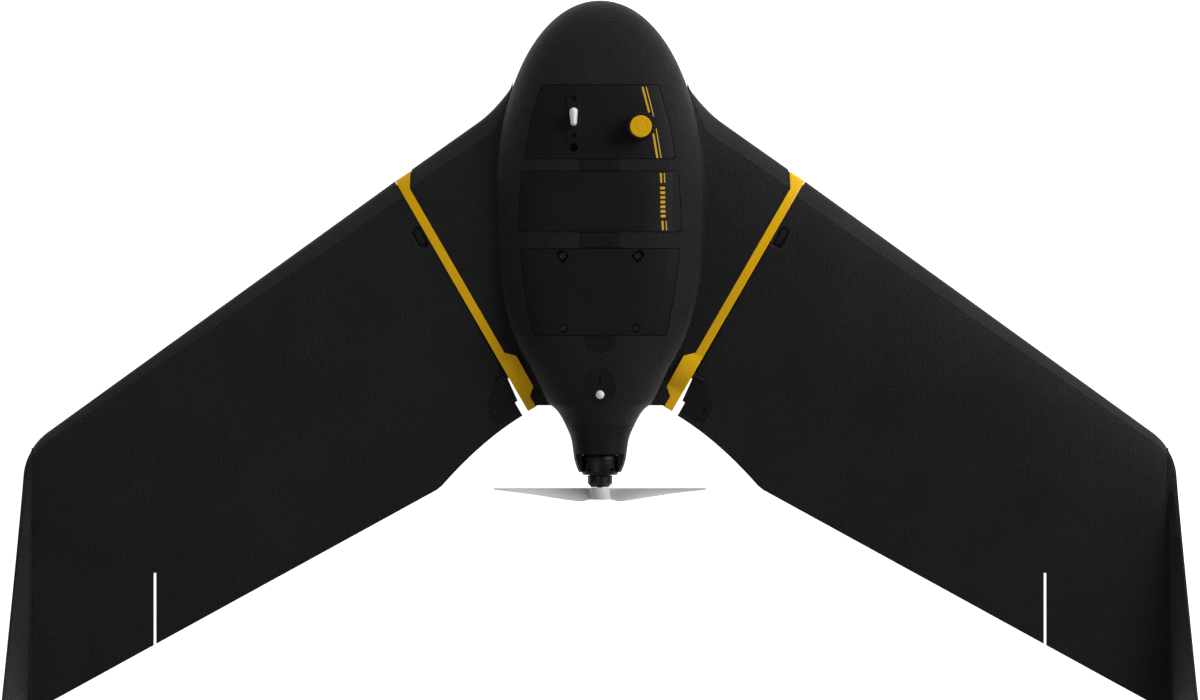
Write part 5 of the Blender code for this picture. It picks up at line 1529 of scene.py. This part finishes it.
def build_elevon(side, word):
    """The elevon with its horn, the drive on the servo's shaft, and the web that joins it to the wing."""
    shares, across = np.linspace(0, 1, 61), np.linspace(0, 1, 16)
    top = elevon_grid(wing_top, shares, across, False)
    bottom = elevon_grid(wing_bottom, shares, across, True)
    elevon = slab(f"elevon_{word}_fine", mirrored(top, side), mirrored(bottom, side))
    pocket_high = horn_grid(GAP, lambda x, y: wing_top(x, y) + 12, side)
    pocket_low = horn_grid(GAP, lambda x, y: wing_top(x, y) - HORN_DEPTH - GAP, side)
    cut(elevon, [slab(f"horn_pocket_{word}", pocket_high, pocket_low)])
    finished(elevon, MAT["foam"], f"elevon_{word}", [f"elevon_{word}"], 30)
    horn = copy_of(f"elevon_horn_{word}", f"elevon_horn_{word}_fine", 0.25)
    corners = [(90.9, -19.8), (101.5, -41.1), (97.6, -45.0), (81.2, -38.2), (90.9, -19.8)]
    for k, ends in enumerate(zip(corners, corners[1:])):
        line = [(side * x, y) for x, y in ends]
        groove = band(f"horn_groove_{word}_{k}", line, 0.55, 0.6, 0.3, lambda x, y: wing_top(x, y) + 0.15)
        cut(horn, [groove])
    finished(horn, MAT["shell"], f"elevon_{word}", [f"elevon_horn_{word}"])
    drive = hinge_rod(f"servo_drive_{word}_fine", -16.2, -0.6, HUB_RADIUS - 0.5, side)
    blade = box(f"drive_tongue_{word}", hinge_point(1.4, 0, HINGE_Z, side), (7.0, 3.0, 1.1), -side * SWEEP)
    bevel(cut(drive, [blade], "UNION"), 0.2)
    finished(drive, MAT["grey"], f"servo_drive_{word}", [f"servo_drive_{word}"])
    x, y = PAD_PLACE
    pad = box(f"horn_pad_{word}", (side * x, y, wing_top(x, y) - 4.0), (4.4, 5.6, 0.9), -side * SWEEP)
    finished(pad, MAT["foam"], f"elevon_{word}")
    build_hinge_strip(side, word, (SLIT_X - root_point(HINGE_CHORD).x) / ALONG.x)


def build_winglet(side, word):
    front = [-83.0, -84.5, -86.5, -89.0, -92.0, -95.5, -99.5, -103.0]
    stations = front + list(np.linspace(-106.0, WINGLET_REAR_Y, 48))
    winglet = loft(f"winglet_{word}_fine", [winglet_section(y, side) for y in stations])
    bevel(winglet, 0.9, 3, 55)
    finished(winglet, MAT["foam"], f"wing_{word}", [f"winglet_{word}"], 40)


def build_side(side, word):
    build_rib(side, word)
    build_root_seal(side, word)
    build_strake_guard(side, word)
    build_wing_guard(side, word)
    build_wing_panel(side, word)
    build_wing_seals(side, word)
    build_elevon(side, word)
    build_winglet(side, word)


def dress_inner_nodes():
    """The nodes whose CAD shape is kept, each with its own material."""
    keys = {
        "battery": "wrap",
        "gnss_receiver": "board",
        "autopilot_board": "board",
        "speed_controller": "shell",
        "radio_modem": "metal",
        "servo_left": "shell",
        "servo_right": "shell",
        "spar_sleeve_left": "metal",
        "spar_sleeve_right": "metal",
        "wing_spar_left": "carbon",
        "wing_spar_right": "carbon",
    }
    for node, key in keys.items():
        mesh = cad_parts[node].data
        mesh.materials.clear()
        mesh.materials.append(MAT[key])


# ---------------------------------------------------------------- camera, light and floor


VIEW_WIDTH, VIEW_CENTRE_Y = 1.16, 0.014
CAMERA_DISTANCE, MID_HEIGHT, SENSOR_WIDTH = 30.0, 0.05, 36.0
LIGHTS = (
    ("key", (2.7, 1.6, 1.85), 2.3, 108.0),
    ("fill", (-1.5, -1.0, 4.0), 3.0, 20.0),
)


def build_stage():
    """A pale floor, a soft key from the front right, a wide fill, and a long lens straight above."""
    scene = bpy.context.scene
    camera = bpy.data.cameras.new("camera")
    camera.sensor_width = SENSOR_WIDTH
    camera.lens = SENSOR_WIDTH * CAMERA_DISTANCE / VIEW_WIDTH
    camera.clip_end = 2 * CAMERA_DISTANCE
    eye = bpy.data.objects.new("camera", camera)
    eye.location = (0.0, VIEW_CENTRE_Y, CAMERA_DISTANCE + MID_HEIGHT)
    scene.collection.objects.link(eye)
    scene.camera = eye

    bpy.ops.mesh.primitive_plane_add(size=14.0, location=(0, 0, -0.0005))
    floor = bpy.context.object
    floor.name = "floor"
    made = Nodes("pale_floor")
    made.link(made.ramp(made.noise(3.0), [(0.3, grey(0.86)), (0.7, grey(0.88))]), "Base Color")
    made.set(Roughness=0.9, Emission_Color=(1, 1, 1, 1), Emission_Strength=1.0)
    floor.data.materials.append(made.material)

    world = bpy.data.worlds.new("studio")
    scene.world = world
    world.use_nodes = True
    background = world.node_tree.nodes["Background"]
    background.inputs["Color"].default_value = (1.0, 1.0, 1.0, 1.0)
    background.inputs["Strength"].default_value = 0.2

    for name, place, size, power in LIGHTS:
        light = bpy.data.lights.new(name, "AREA")
        light.size = size
        light.energy = power
        lamp = bpy.data.objects.new(name, light)
        lamp.location = place
        lamp.rotation_mode = "QUATERNION"
        lamp.rotation_quaternion = (Vector(place) - Vector((0, 0, MID_HEIGHT))).to_track_quat("Z", "Y")
        scene.collection.objects.link(lamp)

    scene.view_settings.view_transform = "Standard"
    scene.view_settings.look = "None"


def main():
    build_body_top()
    build_body_bottom()
    build_front_cover()
    build_battery_hatch()
    build_service_cover()
    for word in FINGER_PLATES:
        finger_plate(word)
    build_top_fittings()
    build_tail()
    build_belly()
    build_motor()
    build_propeller()
    for side, word in ((1, "right"), (-1, "left")):
        build_side(side, word)
    dress_inner_nodes()
    for helper in CUTTERS:
        bpy.data.objects.remove(helper)
    build_stage()


main()
